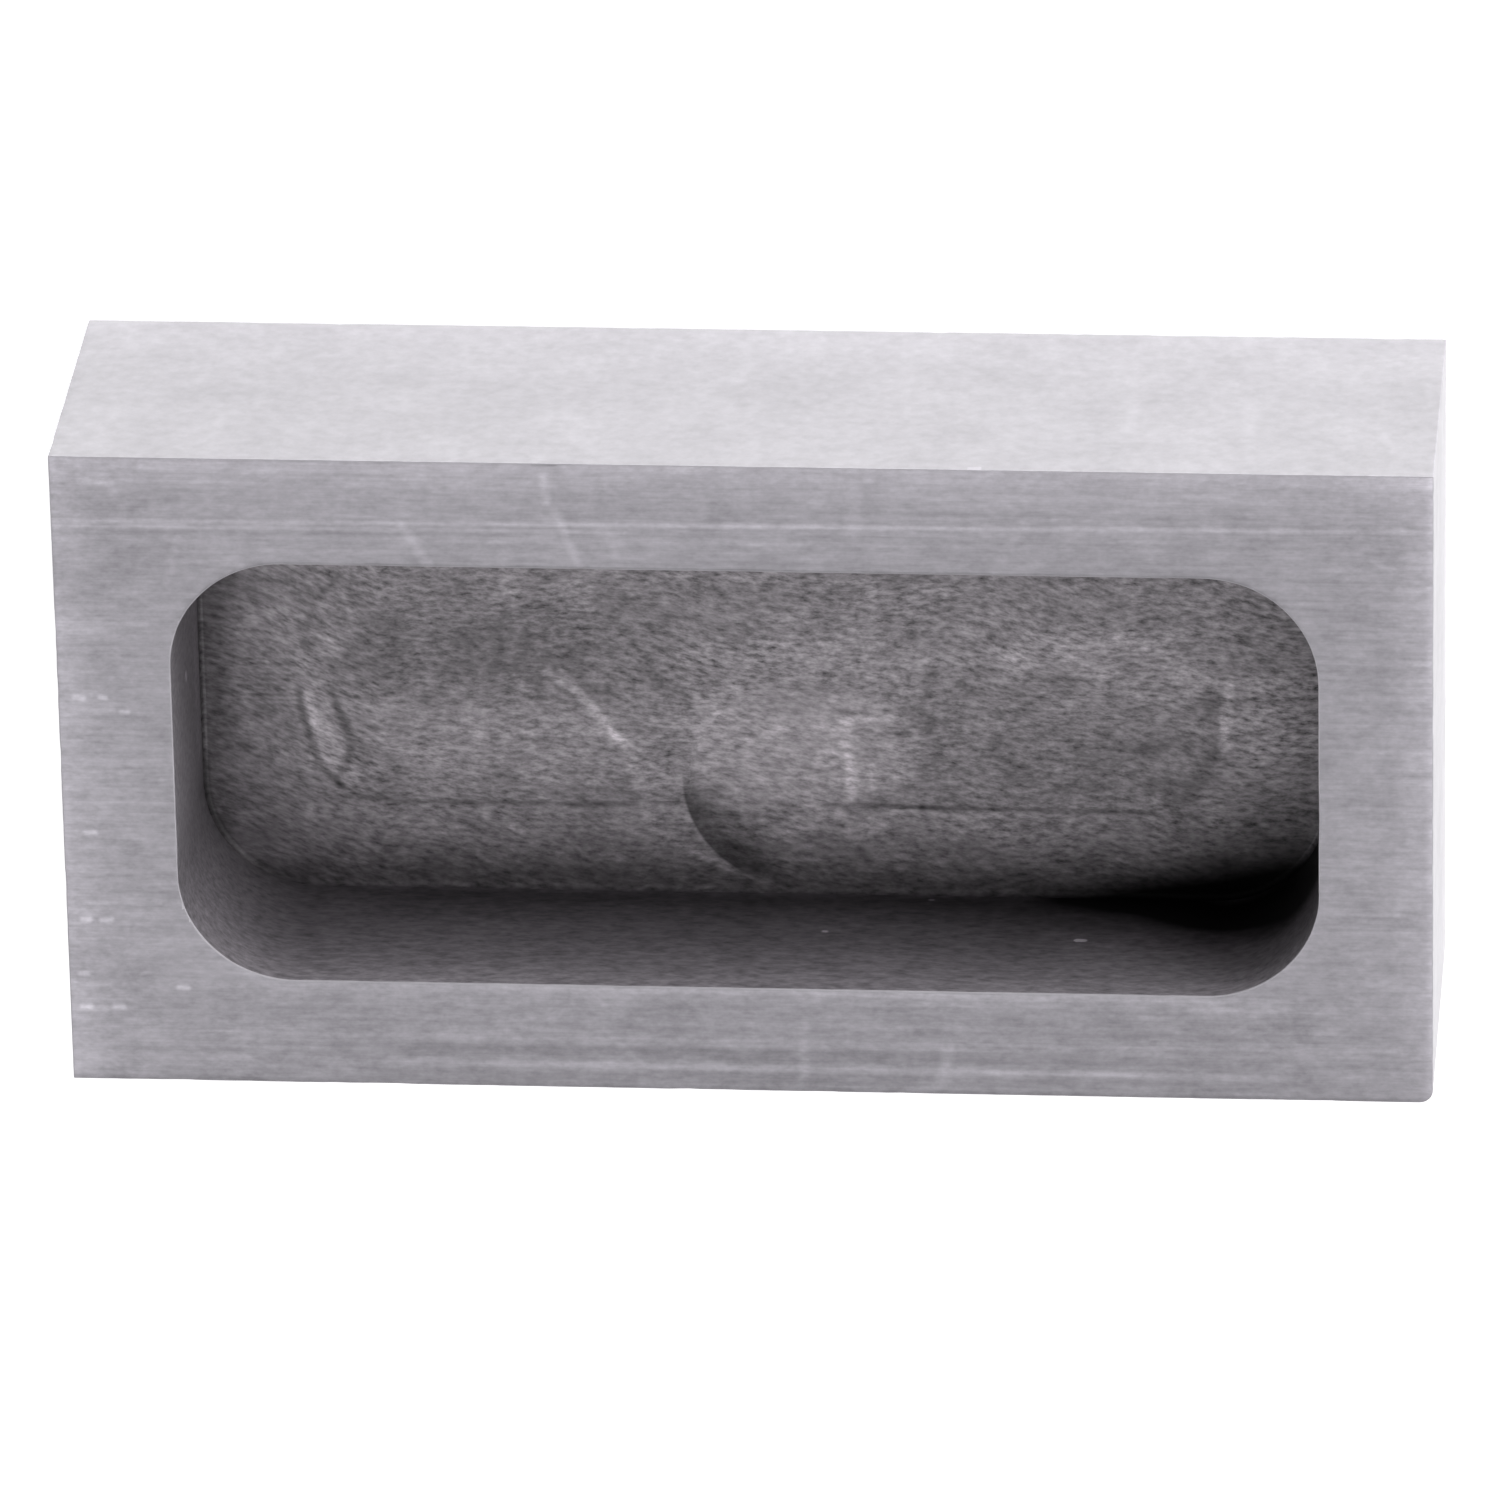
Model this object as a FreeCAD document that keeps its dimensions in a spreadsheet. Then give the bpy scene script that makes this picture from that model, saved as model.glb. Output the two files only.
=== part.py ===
import FreeCAD, Part
import os

import Sketcher
from FreeCAD import Vector

# Ingot mould: one block of fine-grained graphite with an open, round-cornered cavity milled into
# its top. The block lies on its base with the cavity's mouth upwards. X runs along the block, Y
# across it and Z up. The origin is the middle of the base.

# Driving sizes in millimetres: name, value, meaning. Each is a cell of the sheet, under its name.
SIZES = (
    ("block_length", 120.0, "outside length, along X"),
    ("block_width", 60.0, "outside width, along Y"),
    ("block_height", 30.0, "outside height, from the base to the rim"),
    ("end_wall", 10.0, "graphite between the cavity and each short side"),
    ("side_wall", 10.0, "graphite between the cavity and each long side"),
    ("floor_thickness", 10.0, "graphite under the cavity"),
    ("cutter_radius", 10.0, "radius of the end mill, and so of the cavity's upright corners"),
    ("cutter_nose", 0.5, "radius that the end mill leaves between the walls and the floor"),
    ("arris", 0.3, "flat worn along the block's outer edges"),
    ("rim_arris", 0.25, "flat worn round the cavity's mouth"),
    ("knocked_corner", 1.2, "radius of the one upright corner that is worn round, at +X and -Y"),
    ("pass_end_margin", 9.2, "width of the last cutter pass along each end wall"),
    ("pass_side_margin", 8.2, "width of the last cutter pass along each side wall"),
    ("pass_corner", 7.0, "corner radius of the middle of the floor, inside that pass"),
    ("pass_step", 0.1, "how much deeper the last pass lies than the middle of the floor"),
    ("plunge_place", 3.0, "where the cutter went in, along X from the middle"),
    ("plunge_wall_gap", 0.6, "between the cutter's plunge mark and the side wall at -Y"),
    ("plunge_depth", 0.05, "depth of the plunge mark at its centre, under the middle of the floor"),
    ("plunge_dish", 0.25, "how much deeper the cutter's hollow end cuts at its rim"),
    ("overrun", 1.0, "how far the plunge cut reaches up into the open cavity"),
)
VALUE = {name: value for name, value, meaning in SIZES}
TOLERANCE_SHARE = 1e-6


def make_sheet(doc):
    """The spreadsheet of driving sizes, one row each: value with its alias, then its meaning."""
    sheet = doc.addObject("Spreadsheet::Sheet", "sizes")
    for row, (name, value, meaning) in enumerate(SIZES, start=1):
        sheet.set(f"A{row}", str(value))
        sheet.setAlias(f"A{row}", name)
        sheet.set(f"B{row}", meaning)
    doc.recompute()


def origin_plane(body, role):
    """The body's own origin plane with this role."""
    return next(plane for plane in body.Origin.OriginFeatures if plane.Role == role)


def level_sketch(body, name, height):
    """An empty sketch parallel to the base, at the height that an expression gives."""
    sketch = body.newObject("Sketcher::SketchObject", name)
    sketch.AttachmentSupport = (origin_plane(body, "XY_Plane"), [""])
    sketch.MapMode = "FlatFace"
    sketch.setExpression("AttachmentOffset.Base.z", height)
    return sketch


def bind(sketch, constraint, expression):
    """Names the sketch's newest constraint and binds its length to the sheet."""
    index = sketch.ConstraintCount - 1
    sketch.renameConstraint(index, constraint)
    sketch.setExpression(f"Constraints.{constraint}", expression)


def draw_rectangle(sketch, half_length, half_width, length, width):
    """A rectangle centred on the origin. The last two are expressions for its full sizes."""
    corners = [
        Vector(-half_length, -half_width),
        Vector(half_length, -half_width),
        Vector(half_length, half_width),
        Vector(-half_length, half_width),
    ]
    sides = [Part.LineSegment(corners[i], corners[(i + 1) % len(corners)]) for i in range(len(corners))]
    bottom, right, top, left = sketch.addGeometry(sides)
    for side, following in ((bottom, right), (right, top), (top, left), (left, bottom)):
        sketch.addConstraint(Sketcher.Constraint("Coincident", side, 2, following, 1))
    for side in (bottom, top):
        sketch.addConstraint(Sketcher.Constraint("Horizontal", side))
    for side in (left, right):
        sketch.addConstraint(Sketcher.Constraint("Vertical", side))
    sketch.addConstraint(Sketcher.Constraint("Symmetric", bottom, 1, top, 1, -1, 1))
    sketch.addConstraint(Sketcher.Constraint("DistanceX", bottom, 1, bottom, 2, 2 * half_length))
    bind(sketch, "length", length)
    sketch.addConstraint(Sketcher.Constraint("DistanceY", right, 1, right, 2, 2 * half_width))
    bind(sketch, "width", width)


def draw_rounded_rectangle(sketch, name, outline, expressions):
    """A rectangle with equal round corners, centred on the origin.

    name starts its constraints' names; outline is its half length, half width and corner radius;
    expressions bind the full length, the full width and the radius.
    """
    half_length, half_width, radius = outline
    across, up = half_length - radius, half_width - radius
    ends = [
        (Vector(-across, -half_width), Vector(across, -half_width)),
        (Vector(half_length, -up), Vector(half_length, up)),
        (Vector(across, half_width), Vector(-across, half_width)),
        (Vector(-half_length, up), Vector(-half_length, -up)),
    ]
    centres = [Vector(across, -up), Vector(across, up), Vector(-across, up), Vector(-across, -up)]
    sides = sketch.addGeometry([Part.LineSegment(first, last) for first, last in ends])
    corners = []
    for index, centre in enumerate(centres):
        circle = Part.Circle(centre, Vector(0, 0, 1), radius)
        start = circle.parameter(ends[index][1])
        stop = circle.parameter(ends[(index + 1) % len(ends)][0])
        corners.append(sketch.addGeometry(Part.ArcOfCircle(circle, start, stop)))
    for index, corner in enumerate(corners):
        following = sides[(index + 1) % len(sides)]
        sketch.addConstraint(Sketcher.Constraint("Tangent", sides[index], 2, corner, 1))
        sketch.addConstraint(Sketcher.Constraint("Tangent", corner, 2, following, 1))
    for corner in corners[1:]:
        sketch.addConstraint(Sketcher.Constraint("Equal", corners[0], corner))
    bottom, right, top, left = sides
    sketch.addConstraint(Sketcher.Constraint("Horizontal", bottom))
    sketch.addConstraint(Sketcher.Constraint("Vertical", right))
    sketch.addConstraint(Sketcher.Constraint("Symmetric", bottom, 1, top, 1, -1, 1))
    sketch.addConstraint(Sketcher.Constraint("DistanceX", left, 1, right, 2, 2 * half_length))
    bind(sketch, f"{name}_length", expressions[0])
    sketch.addConstraint(Sketcher.Constraint("DistanceY", bottom, 1, top, 2, 2 * half_width))
    bind(sketch, f"{name}_width", expressions[1])
    sketch.addConstraint(Sketcher.Constraint("Radius", corners[0], radius))
    bind(sketch, f"{name}_radius", expressions[2])


def named_edges(shape, wanted):
    """The names of the shape's edges for which wanted(edge) is true."""
    return [f"Edge{index}" for index, edge in enumerate(shape.Edges, start=1) if wanted(edge)]


def same(first, second):
    """True where two coordinates are one place, within a share of the block's length."""
    return abs(first - second) < TOLERANCE_SHARE * VALUE["block_length"]


def lies_at_height(edge, height):
    """True for an edge that lies level at this height."""
    return same(edge.BoundBox.ZMin, height) and same(edge.BoundBox.ZMax, height)


def is_outer(edge):
    """True for an edge outside the cavity's outline."""
    box = edge.BoundBox
    beyond_end = max(-box.XMin, box.XMax) > VALUE["block_length"] / 2 - VALUE["end_wall"] / 2
    beyond_side = max(-box.YMin, box.YMax) > VALUE["block_width"] / 2 - VALUE["side_wall"] / 2
    return beyond_end or beyond_side


def is_upright(edge):
    """True for a straight edge that stands upright from the base to the rim."""
    return same(edge.BoundBox.ZLength, VALUE["block_height"])


def stands_at_knocked_corner(edge):
    """True for the upright edge at +X and -Y."""
    at_end = same(edge.BoundBox.XMin, VALUE["block_length"] / 2)
    at_side = same(edge.BoundBox.YMin, -VALUE["block_width"] / 2)
    return is_upright(edge) and at_end and at_side


def dress_edges(body, kind, name, size, wanted):
    """Adds a fillet or chamfer of the named size along the edges of the body's tip that are wanted."""
    base = body.Tip
    edges = named_edges(base.Shape, wanted)
    if not edges:
        raise ValueError(f"{name} finds no edge")
    feature = body.newObject(f"PartDesign::{kind}", name)
    feature.Base = (base, edges)
    feature.setExpression("Radius" if kind == "Fillet" else "Size", f"sizes.{size}")
    body.Document.recompute()


def add_pocket(body, name, sketch, depth):
    """Cuts the sketch's outline down to the depth that an expression gives, and checks that it cut."""
    before = body.Shape.Volume
    pocket = body.newObject("PartDesign::Pocket", name)
    pocket.Profile = sketch
    pocket.setExpression("Length", depth)
    body.Document.recompute()
    if not body.Shape.Volume < before:
        raise ValueError(f"{name} cuts nothing")


def add_block(body):
    """The sawn block."""
    sketch = body.newObject("Sketcher::SketchObject", "block_outline")
    sketch.AttachmentSupport = (origin_plane(body, "XY_Plane"), [""])
    sketch.MapMode = "FlatFace"
    half_length, half_width = VALUE["block_length"] / 2, VALUE["block_width"] / 2
    draw_rectangle(sketch, half_length, half_width, "sizes.block_length", "sizes.block_width")
    block = body.newObject("PartDesign::Pad", "block")
    block.Profile = sketch
    block.setExpression("Length", "sizes.block_height")
    body.Document.recompute()


def cavity_outline(sketch):
    """Draws the cavity's outline, which the walls stand on."""
    outline = (
        VALUE["block_length"] / 2 - VALUE["end_wall"],
        VALUE["block_width"] / 2 - VALUE["side_wall"],
        VALUE["cutter_radius"],
    )
    expressions = (
        "sizes.block_length - 2 * sizes.end_wall",
        "sizes.block_width - 2 * sizes.side_wall",
        "sizes.cutter_radius",
    )
    draw_rounded_rectangle(sketch, "cavity", outline, expressions)


def middle_outline(sketch):
    """Draws the outline of the floor's middle, which the last pass along the walls leaves."""
    end_margin = VALUE["end_wall"] + VALUE["pass_end_margin"]
    side_margin = VALUE["side_wall"] + VALUE["pass_side_margin"]
    outline = (
        VALUE["block_length"] / 2 - end_margin,
        VALUE["block_width"] / 2 - side_margin,
        VALUE["pass_corner"],
    )
    expressions = (
        "sizes.block_length - 2 * (sizes.end_wall + sizes.pass_end_margin)",
        "sizes.block_width - 2 * (sizes.side_wall + sizes.pass_side_margin)",
        "sizes.pass_corner",
    )
    draw_rounded_rectangle(sketch, "middle", outline, expressions)


def add_cavity(body):
    """The cavity: cleared to the middle of the floor, then one pass round the walls, a hair deeper."""
    clearing = level_sketch(body, "cavity_outline", "sizes.block_height")
    cavity_outline(clearing)
    cleared = "sizes.block_height - sizes.floor_thickness - sizes.pass_step"
    add_pocket(body, "cavity", clearing, cleared)
    last_pass = level_sketch(body, "wall_pass_outline", "sizes.floor_thickness + sizes.pass_step")
    cavity_outline(last_pass)
    middle_outline(last_pass)
    add_pocket(body, "wall_pass", last_pass, "sizes.pass_step")


def at_wall_foot(edge):
    """True for an edge between a wall of the cavity and the floor's last pass."""
    box = edge.BoundBox
    half_length = VALUE["block_length"] / 2 - VALUE["end_wall"]
    half_width = VALUE["block_width"] / 2 - VALUE["side_wall"]
    at_end = same(max(-box.XMin, box.XMax), half_length)
    at_side = same(max(-box.YMin, box.YMax), half_width)
    return lies_at_height(edge, VALUE["floor_thickness"]) and (at_end or at_side)


def at_mouth(edge):
    """True for an edge of the cavity's mouth."""
    return lies_at_height(edge, VALUE["block_height"]) and not is_outer(edge)


def at_outside(edge):
    """True for a sharp outer edge of the block. The knocked corner is round already."""
    level = lies_at_height(edge, 0) or lies_at_height(edge, VALUE["block_height"])
    box = edge.BoundBox
    at_end = same(max(-box.XMin, box.XMax), VALUE["block_length"] / 2)
    at_side = same(max(-box.YMin, box.YMax), VALUE["block_width"] / 2)
    return is_outer(edge) and (level or (is_upright(edge) and at_end and at_side))


def add_plunge_mark(body):
    """The round mark where the end mill went in: its hollow end cuts deepest at the rim."""
    sketch = body.newObject("Sketcher::SketchObject", "plunge_section")
    sketch.AttachmentSupport = (origin_plane(body, "XZ_Plane"), [""])
    sketch.MapMode = "FlatFace"
    sketch.setExpression("AttachmentOffset.Base.x", "sizes.plunge_place")
    from_side = "sizes.block_width / 2 - sizes.side_wall - sizes.cutter_radius - sizes.plunge_wall_gap"
    sketch.setExpression("AttachmentOffset.Base.z", from_side)
    radius = VALUE["cutter_radius"]
    middle = VALUE["floor_thickness"] + VALUE["pass_step"]
    centre = middle - VALUE["plunge_depth"]
    rim = centre - VALUE["plunge_dish"]
    over = middle + VALUE["overrun"]
    points = [Vector(0, centre), Vector(radius, rim), Vector(radius, over), Vector(0, over)]
    lines = [Part.LineSegment(points[i], points[(i + 1) % len(points)]) for i in range(len(points))]
    hollow, side, lid, axis = sketch.addGeometry(lines)
    for line, following in ((hollow, side), (side, lid), (lid, axis), (axis, hollow)):
        sketch.addConstraint(Sketcher.Constraint("Coincident", line, 2, following, 1))
    sketch.addConstraint(Sketcher.Constraint("Vertical", side))
    sketch.addConstraint(Sketcher.Constraint("Horizontal", lid))
    sketch.addConstraint(Sketcher.Constraint("PointOnObject", axis, 1, -2))
    sketch.addConstraint(Sketcher.Constraint("PointOnObject", axis, 2, -2))
    sketch.addConstraint(Sketcher.Constraint("DistanceX", lid, 2, lid, 1, radius))
    bind(sketch, "radius", "sizes.cutter_radius")
    sketch.addConstraint(Sketcher.Constraint("DistanceY", -1, 1, hollow, 1, centre))
    bind(sketch, "centre", "sizes.floor_thickness + sizes.pass_step - sizes.plunge_depth")
    sketch.addConstraint(Sketcher.Constraint("DistanceY", hollow, 2, hollow, 1, centre - rim))
    bind(sketch, "dish", "sizes.plunge_dish")
    sketch.addConstraint(Sketcher.Constraint("DistanceY", -1, 1, lid, 1, over))
    bind(sketch, "over", "sizes.floor_thickness + sizes.pass_step + sizes.overrun")
    body.Document.recompute()
    before = body.Shape.Volume
    groove = body.newObject("PartDesign::Groove", "plunge_mark")
    groove.Profile = sketch
    groove.ReferenceAxis = (sketch, ["V_Axis"])
    body.Document.recompute()
    if not body.Shape.Volume < before:
        raise ValueError("plunge_mark cuts nothing")


def make_mould_block(doc):
    """The mould's only piece, with its features in the order in which they are cut."""
    body = doc.addObject("PartDesign::Body", "mould_block")
    body.Label = "mould_block"
    body.Placement = FreeCAD.Placement()
    add_block(body)
    dress_edges(body, "Fillet", "knocked_corner_round", "knocked_corner", stands_at_knocked_corner)
    add_cavity(body)
    dress_edges(body, "Fillet", "wall_foot_round", "cutter_nose", at_wall_foot)
    add_plunge_mark(body)
    dress_edges(body, "Chamfer", "mouth_arris", "rim_arris", at_mouth)
    dress_edges(body, "Chamfer", "outer_arris", "arris", at_outside)
    return body


def check(doc, bodies):
    """Stops if any object failed or a body's shape isn't one sound solid."""
    for item in doc.Objects:
        if "Invalid" in item.State or "Error" in item.State:
            raise ValueError(f"{item.Name} failed: {item.State}")
    for body in bodies:
        shape = body.Shape
        if shape.isNull() or not shape.isValid() or len(shape.Solids) != 1:
            raise ValueError(f"{body.Label} isn't one sound solid")


def write_parts(bodies):
    """Writes one STEP file for each body, under its own name."""
    os.makedirs("parts", exist_ok=True)
    for body in bodies:
        body.Shape.exportStep(f"parts/{body.Label}.step")
        box = body.Shape.BoundBox
        size = f"{box.XLength:.2f} x {box.YLength:.2f} x {box.ZLength:.2f}"
        print(body.Label, size, f"volume {body.Shape.Volume:.0f}")


document = FreeCAD.newDocument("ingot_mould")
make_sheet(document)
pieces = [make_mould_block(document)]
document.recompute()
check(document, pieces)
write_parts(pieces)
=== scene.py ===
"""Looks of the graphite ingot mould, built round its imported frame.

The mould lies on its base with the cavity's mouth upwards. X runs along the block, Y across it and
Z up, in metres, and the origin is the middle of the base.
"""
import logging
import math
from collections.abc import Callable, Iterator
from contextlib import contextmanager
from dataclasses import dataclass, field
from enum import Enum
from functools import reduce
from typing import ClassVar

import bpy
from mathutils import Matrix, Vector


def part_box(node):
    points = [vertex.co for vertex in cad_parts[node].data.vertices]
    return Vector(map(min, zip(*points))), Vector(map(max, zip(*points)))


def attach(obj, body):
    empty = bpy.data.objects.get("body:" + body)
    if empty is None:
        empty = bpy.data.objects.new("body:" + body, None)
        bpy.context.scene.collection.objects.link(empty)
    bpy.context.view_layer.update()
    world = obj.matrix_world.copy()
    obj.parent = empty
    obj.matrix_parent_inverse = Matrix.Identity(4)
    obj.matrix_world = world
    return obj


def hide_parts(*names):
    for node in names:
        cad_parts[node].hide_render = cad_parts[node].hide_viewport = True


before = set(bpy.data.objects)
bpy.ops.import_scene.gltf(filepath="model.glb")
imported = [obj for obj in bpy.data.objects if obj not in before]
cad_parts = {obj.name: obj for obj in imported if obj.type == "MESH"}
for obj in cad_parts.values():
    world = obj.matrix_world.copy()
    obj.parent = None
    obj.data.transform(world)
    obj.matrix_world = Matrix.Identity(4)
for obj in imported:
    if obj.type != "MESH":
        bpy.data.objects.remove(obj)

LOG = logging.getLogger("ingot_mould")
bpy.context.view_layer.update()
NODE = "mould_block"
BODY = "root"

MILLIMETRE = 0.001
UP = Vector((0, 0, 1))
FACING = 0.99
WHITE = (1.0, 1.0, 1.0, 1.0)

Socket = bpy.types.NodeSocket
Value = Socket | float | tuple[float, ...]
Point = tuple[float, float]
Wanted = Callable[[Vector, Vector], bool]


def facing(way: Vector) -> Wanted:
    """Returns the test of whether a face points the given way, to within a few degrees."""
    return lambda middle, normal: normal.dot(way) > FACING


class Part(Enum):
    """What an edit works on."""

    EDGE = "EDGE"
    FACE = "FACE"


class Cut(Enum):
    """How a tool's shape meets a workpiece."""

    TAKE_AWAY = "DIFFERENCE"
    JOIN = "UNION"


class Surface(Enum):
    """The block's kinds of surface, each with its place among the material slots."""

    RIM = 0
    SIDE = 1
    ARRIS = 2
    FLOOR = 3
    WALL = 4


class Plane(Enum):
    """The two directions that a mark's points are given in."""

    LEVEL = ("X", "Y")
    LONG_SIDE = ("X", "Z")
    SHORT_SIDE = ("Y", "Z")


class PinKind(Enum):
    """What an input or output of a shared effect carries."""

    NUMBER = "NodeSocketFloat"
    VECTOR = "NodeSocketVector"


@dataclass
class Workpiece:
    """A mesh on the bench, and the operator steps that shape it.

    Attributes:
        body: The mesh object. It stays at the origin, unturned and unscaled.
    """

    body: bpy.types.Object

    @classmethod
    def cube(cls, name: str, low: Vector, high: Vector) -> "Workpiece":
        """Makes a cuboid.

        Args:
            name: The object's name.
            low: Its lowest corner.
            high: Its highest corner.

        Returns:
            The workpiece.
        """
        bpy.ops.object.select_all(action="DESELECT")
        bpy.ops.mesh.primitive_cube_add(size=1, location=(low + high) / 2, scale=high - low)
        return cls.settled(name)

    @classmethod
    def drum(
        cls, name: str, foot: Vector, radii: Point, height: float, lean: float, flats: int
    ) -> "Workpiece":
        """Makes a drum with sloping sides, which stands upright or leans.

        Args:
            name: The object's name.
            foot: The middle of its lower end.
            radii: The radius of its lower end, and of its upper end.
            height: Its height.
            lean: How far its lower end tips, down at -X -Y, in radians.
            flats: How many flats stand for the round.

        Returns:
            The workpiece.
        """
        bpy.ops.object.select_all(action="DESELECT")
        middle = foot + UP * height / 2
        lower, upper = radii
        turn = (lean * math.sqrt(0.5), -lean * math.sqrt(0.5), 0)
        bpy.ops.mesh.primitive_cone_add(
            vertices=flats,
            radius1=lower,
            radius2=upper,
            depth=height,
            location=middle,
            rotation=turn,
        )
        return cls.settled(name)

    @classmethod
    def settled(cls, name: str) -> "Workpiece":
        """Names the new primitive, puts its place into its mesh and returns it as a workpiece."""
        body = bpy.context.object
        body.name = name
        body.data.name = name
        bpy.ops.object.transform_apply(location=True, rotation=True, scale=True)
        return cls(body)

    def hold(self) -> None:
        """Makes this the only selected object, and the active one."""
        bpy.ops.object.select_all(action="DESELECT")
        self.body.select_set(True)
        bpy.context.view_layer.objects.active = self.body

    @contextmanager
    def picked(self, part: Part, wanted: Wanted) -> Iterator[None]:
        """Opens edit mode with only the wanted parts selected, and closes it again.

        Args:
            part: What to select.
            wanted: Says if one is wanted, from an edge's two ends, or a face's middle and normal.
        """
        self.hold()
        bpy.ops.object.mode_set(mode="EDIT")
        bpy.ops.mesh.select_mode(type=part.value)
        bpy.ops.mesh.select_all(action="DESELECT")
        bpy.ops.object.mode_set(mode="OBJECT")
        mesh = self.body.data
        if part is Part.EDGE:
            for edge in mesh.edges:
                edge.select = wanted(*(mesh.vertices[end].co for end in edge.vertices))
        else:
            for face in mesh.polygons:
                face.select = wanted(face.center, face.normal)
        bpy.ops.object.mode_set(mode="EDIT")
        yield
        bpy.ops.object.mode_set(mode="OBJECT")

    def bevel(self, wanted: Wanted, width: float, flats: int) -> None:
        """Rounds the wanted edges.

        Args:
            wanted: Says if the edge between two ends is wanted.
            width: How far from the edge the round begins.
            flats: How many flats stand for the round.
        """
        with self.picked(Part.EDGE, wanted):
            bpy.ops.mesh.bevel(offset=width, segments=flats, affect="EDGES")

    def inset(self, wanted: Wanted, width: float, each: bool) -> None:
        """Draws a line round the wanted faces, inside their outline.

        Args:
            wanted: Says if the face with this middle and normal is wanted.
            width: How far inside.
            each: Whether each face gets its own line, or all together get one.
        """
        with self.picked(Part.FACE, wanted):
            bpy.ops.mesh.inset(thickness=width, use_individual=each)

    def carve(self, tool: "Workpiece", cut: Cut) -> None:
        """Takes a tool's shape away from this one or joins it, and clears the tool away.

        Args:
            tool: The other shape, which is used up.
            cut: How the two meet.
        """
        self.hold()
        meeting = self.body.modifiers.new(cut.name, "BOOLEAN")
        meeting.operation = cut.value
        meeting.object = tool.body
        meeting.solver = "EXACT"
        bpy.ops.object.modifier_apply(modifier=meeting.name)
        bpy.data.objects.remove(tool.body)

    def slice(self, wanted: Wanted, low: Vector, high: Vector, pitch: float) -> None:
        """Cuts the wanted faces across with level and upright planes, an even pitch apart.

        Args:
            wanted: Says if the face with this middle and normal is wanted.
            low: The lowest corner of the planes' reach.
            high: The highest corner of their reach.
            pitch: The distance between planes.
        """
        with self.picked(Part.FACE, wanted):
            bpy.ops.mesh.hide(unselected=True)
            for axis in range(3):
                across = Vector(float(axis == index) for index in range(3))
                length = high[axis] - low[axis]
                count = round(length / pitch)
                for step in range(1, count):
                    place = low + across * length * step / count
                    bpy.ops.mesh.select_all(action="SELECT")
                    bpy.ops.mesh.bisect(plane_co=place, plane_no=across)
            bpy.ops.mesh.reveal(select=False)

    def roughen(self, group: str, move: float, pattern: bpy.types.Texture, still: float) -> None:
        """Moves the corners of a vertex group along their normals, by a solid pattern.

        Args:
            group: The vertex group's name.
            move: How far the full pattern moves them, inwards below zero.
            pattern: The solid pattern.
            still: The pattern's value that moves nothing.
        """
        self.hold()
        rough = self.body.modifiers.new(pattern.name, "DISPLACE")
        rough.texture = pattern
        rough.texture_coords = "LOCAL"
        rough.vertex_group = group
        rough.strength = move
        rough.mid_level = still
        bpy.ops.object.modifier_apply(modifier=rough.name)

    def close(self, smooth_angle: float) -> None:
        """Turns all faces outwards, and shades shallow edges smooth and broad faces flat.

        Args:
            smooth_angle: The steepest edge that is shaded smooth, in radians.
        """
        with self.picked(Part.FACE, lambda middle, normal: True):
            bpy.ops.mesh.normals_make_consistent(inside=False)
        bpy.ops.object.shade_smooth_by_angle(angle=smooth_angle)
        weighted = self.body.modifiers.new("broad_faces_flat", "WEIGHTED_NORMAL")
        weighted.keep_sharp = True
        bpy.ops.object.modifier_apply(modifier=weighted.name)


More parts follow.
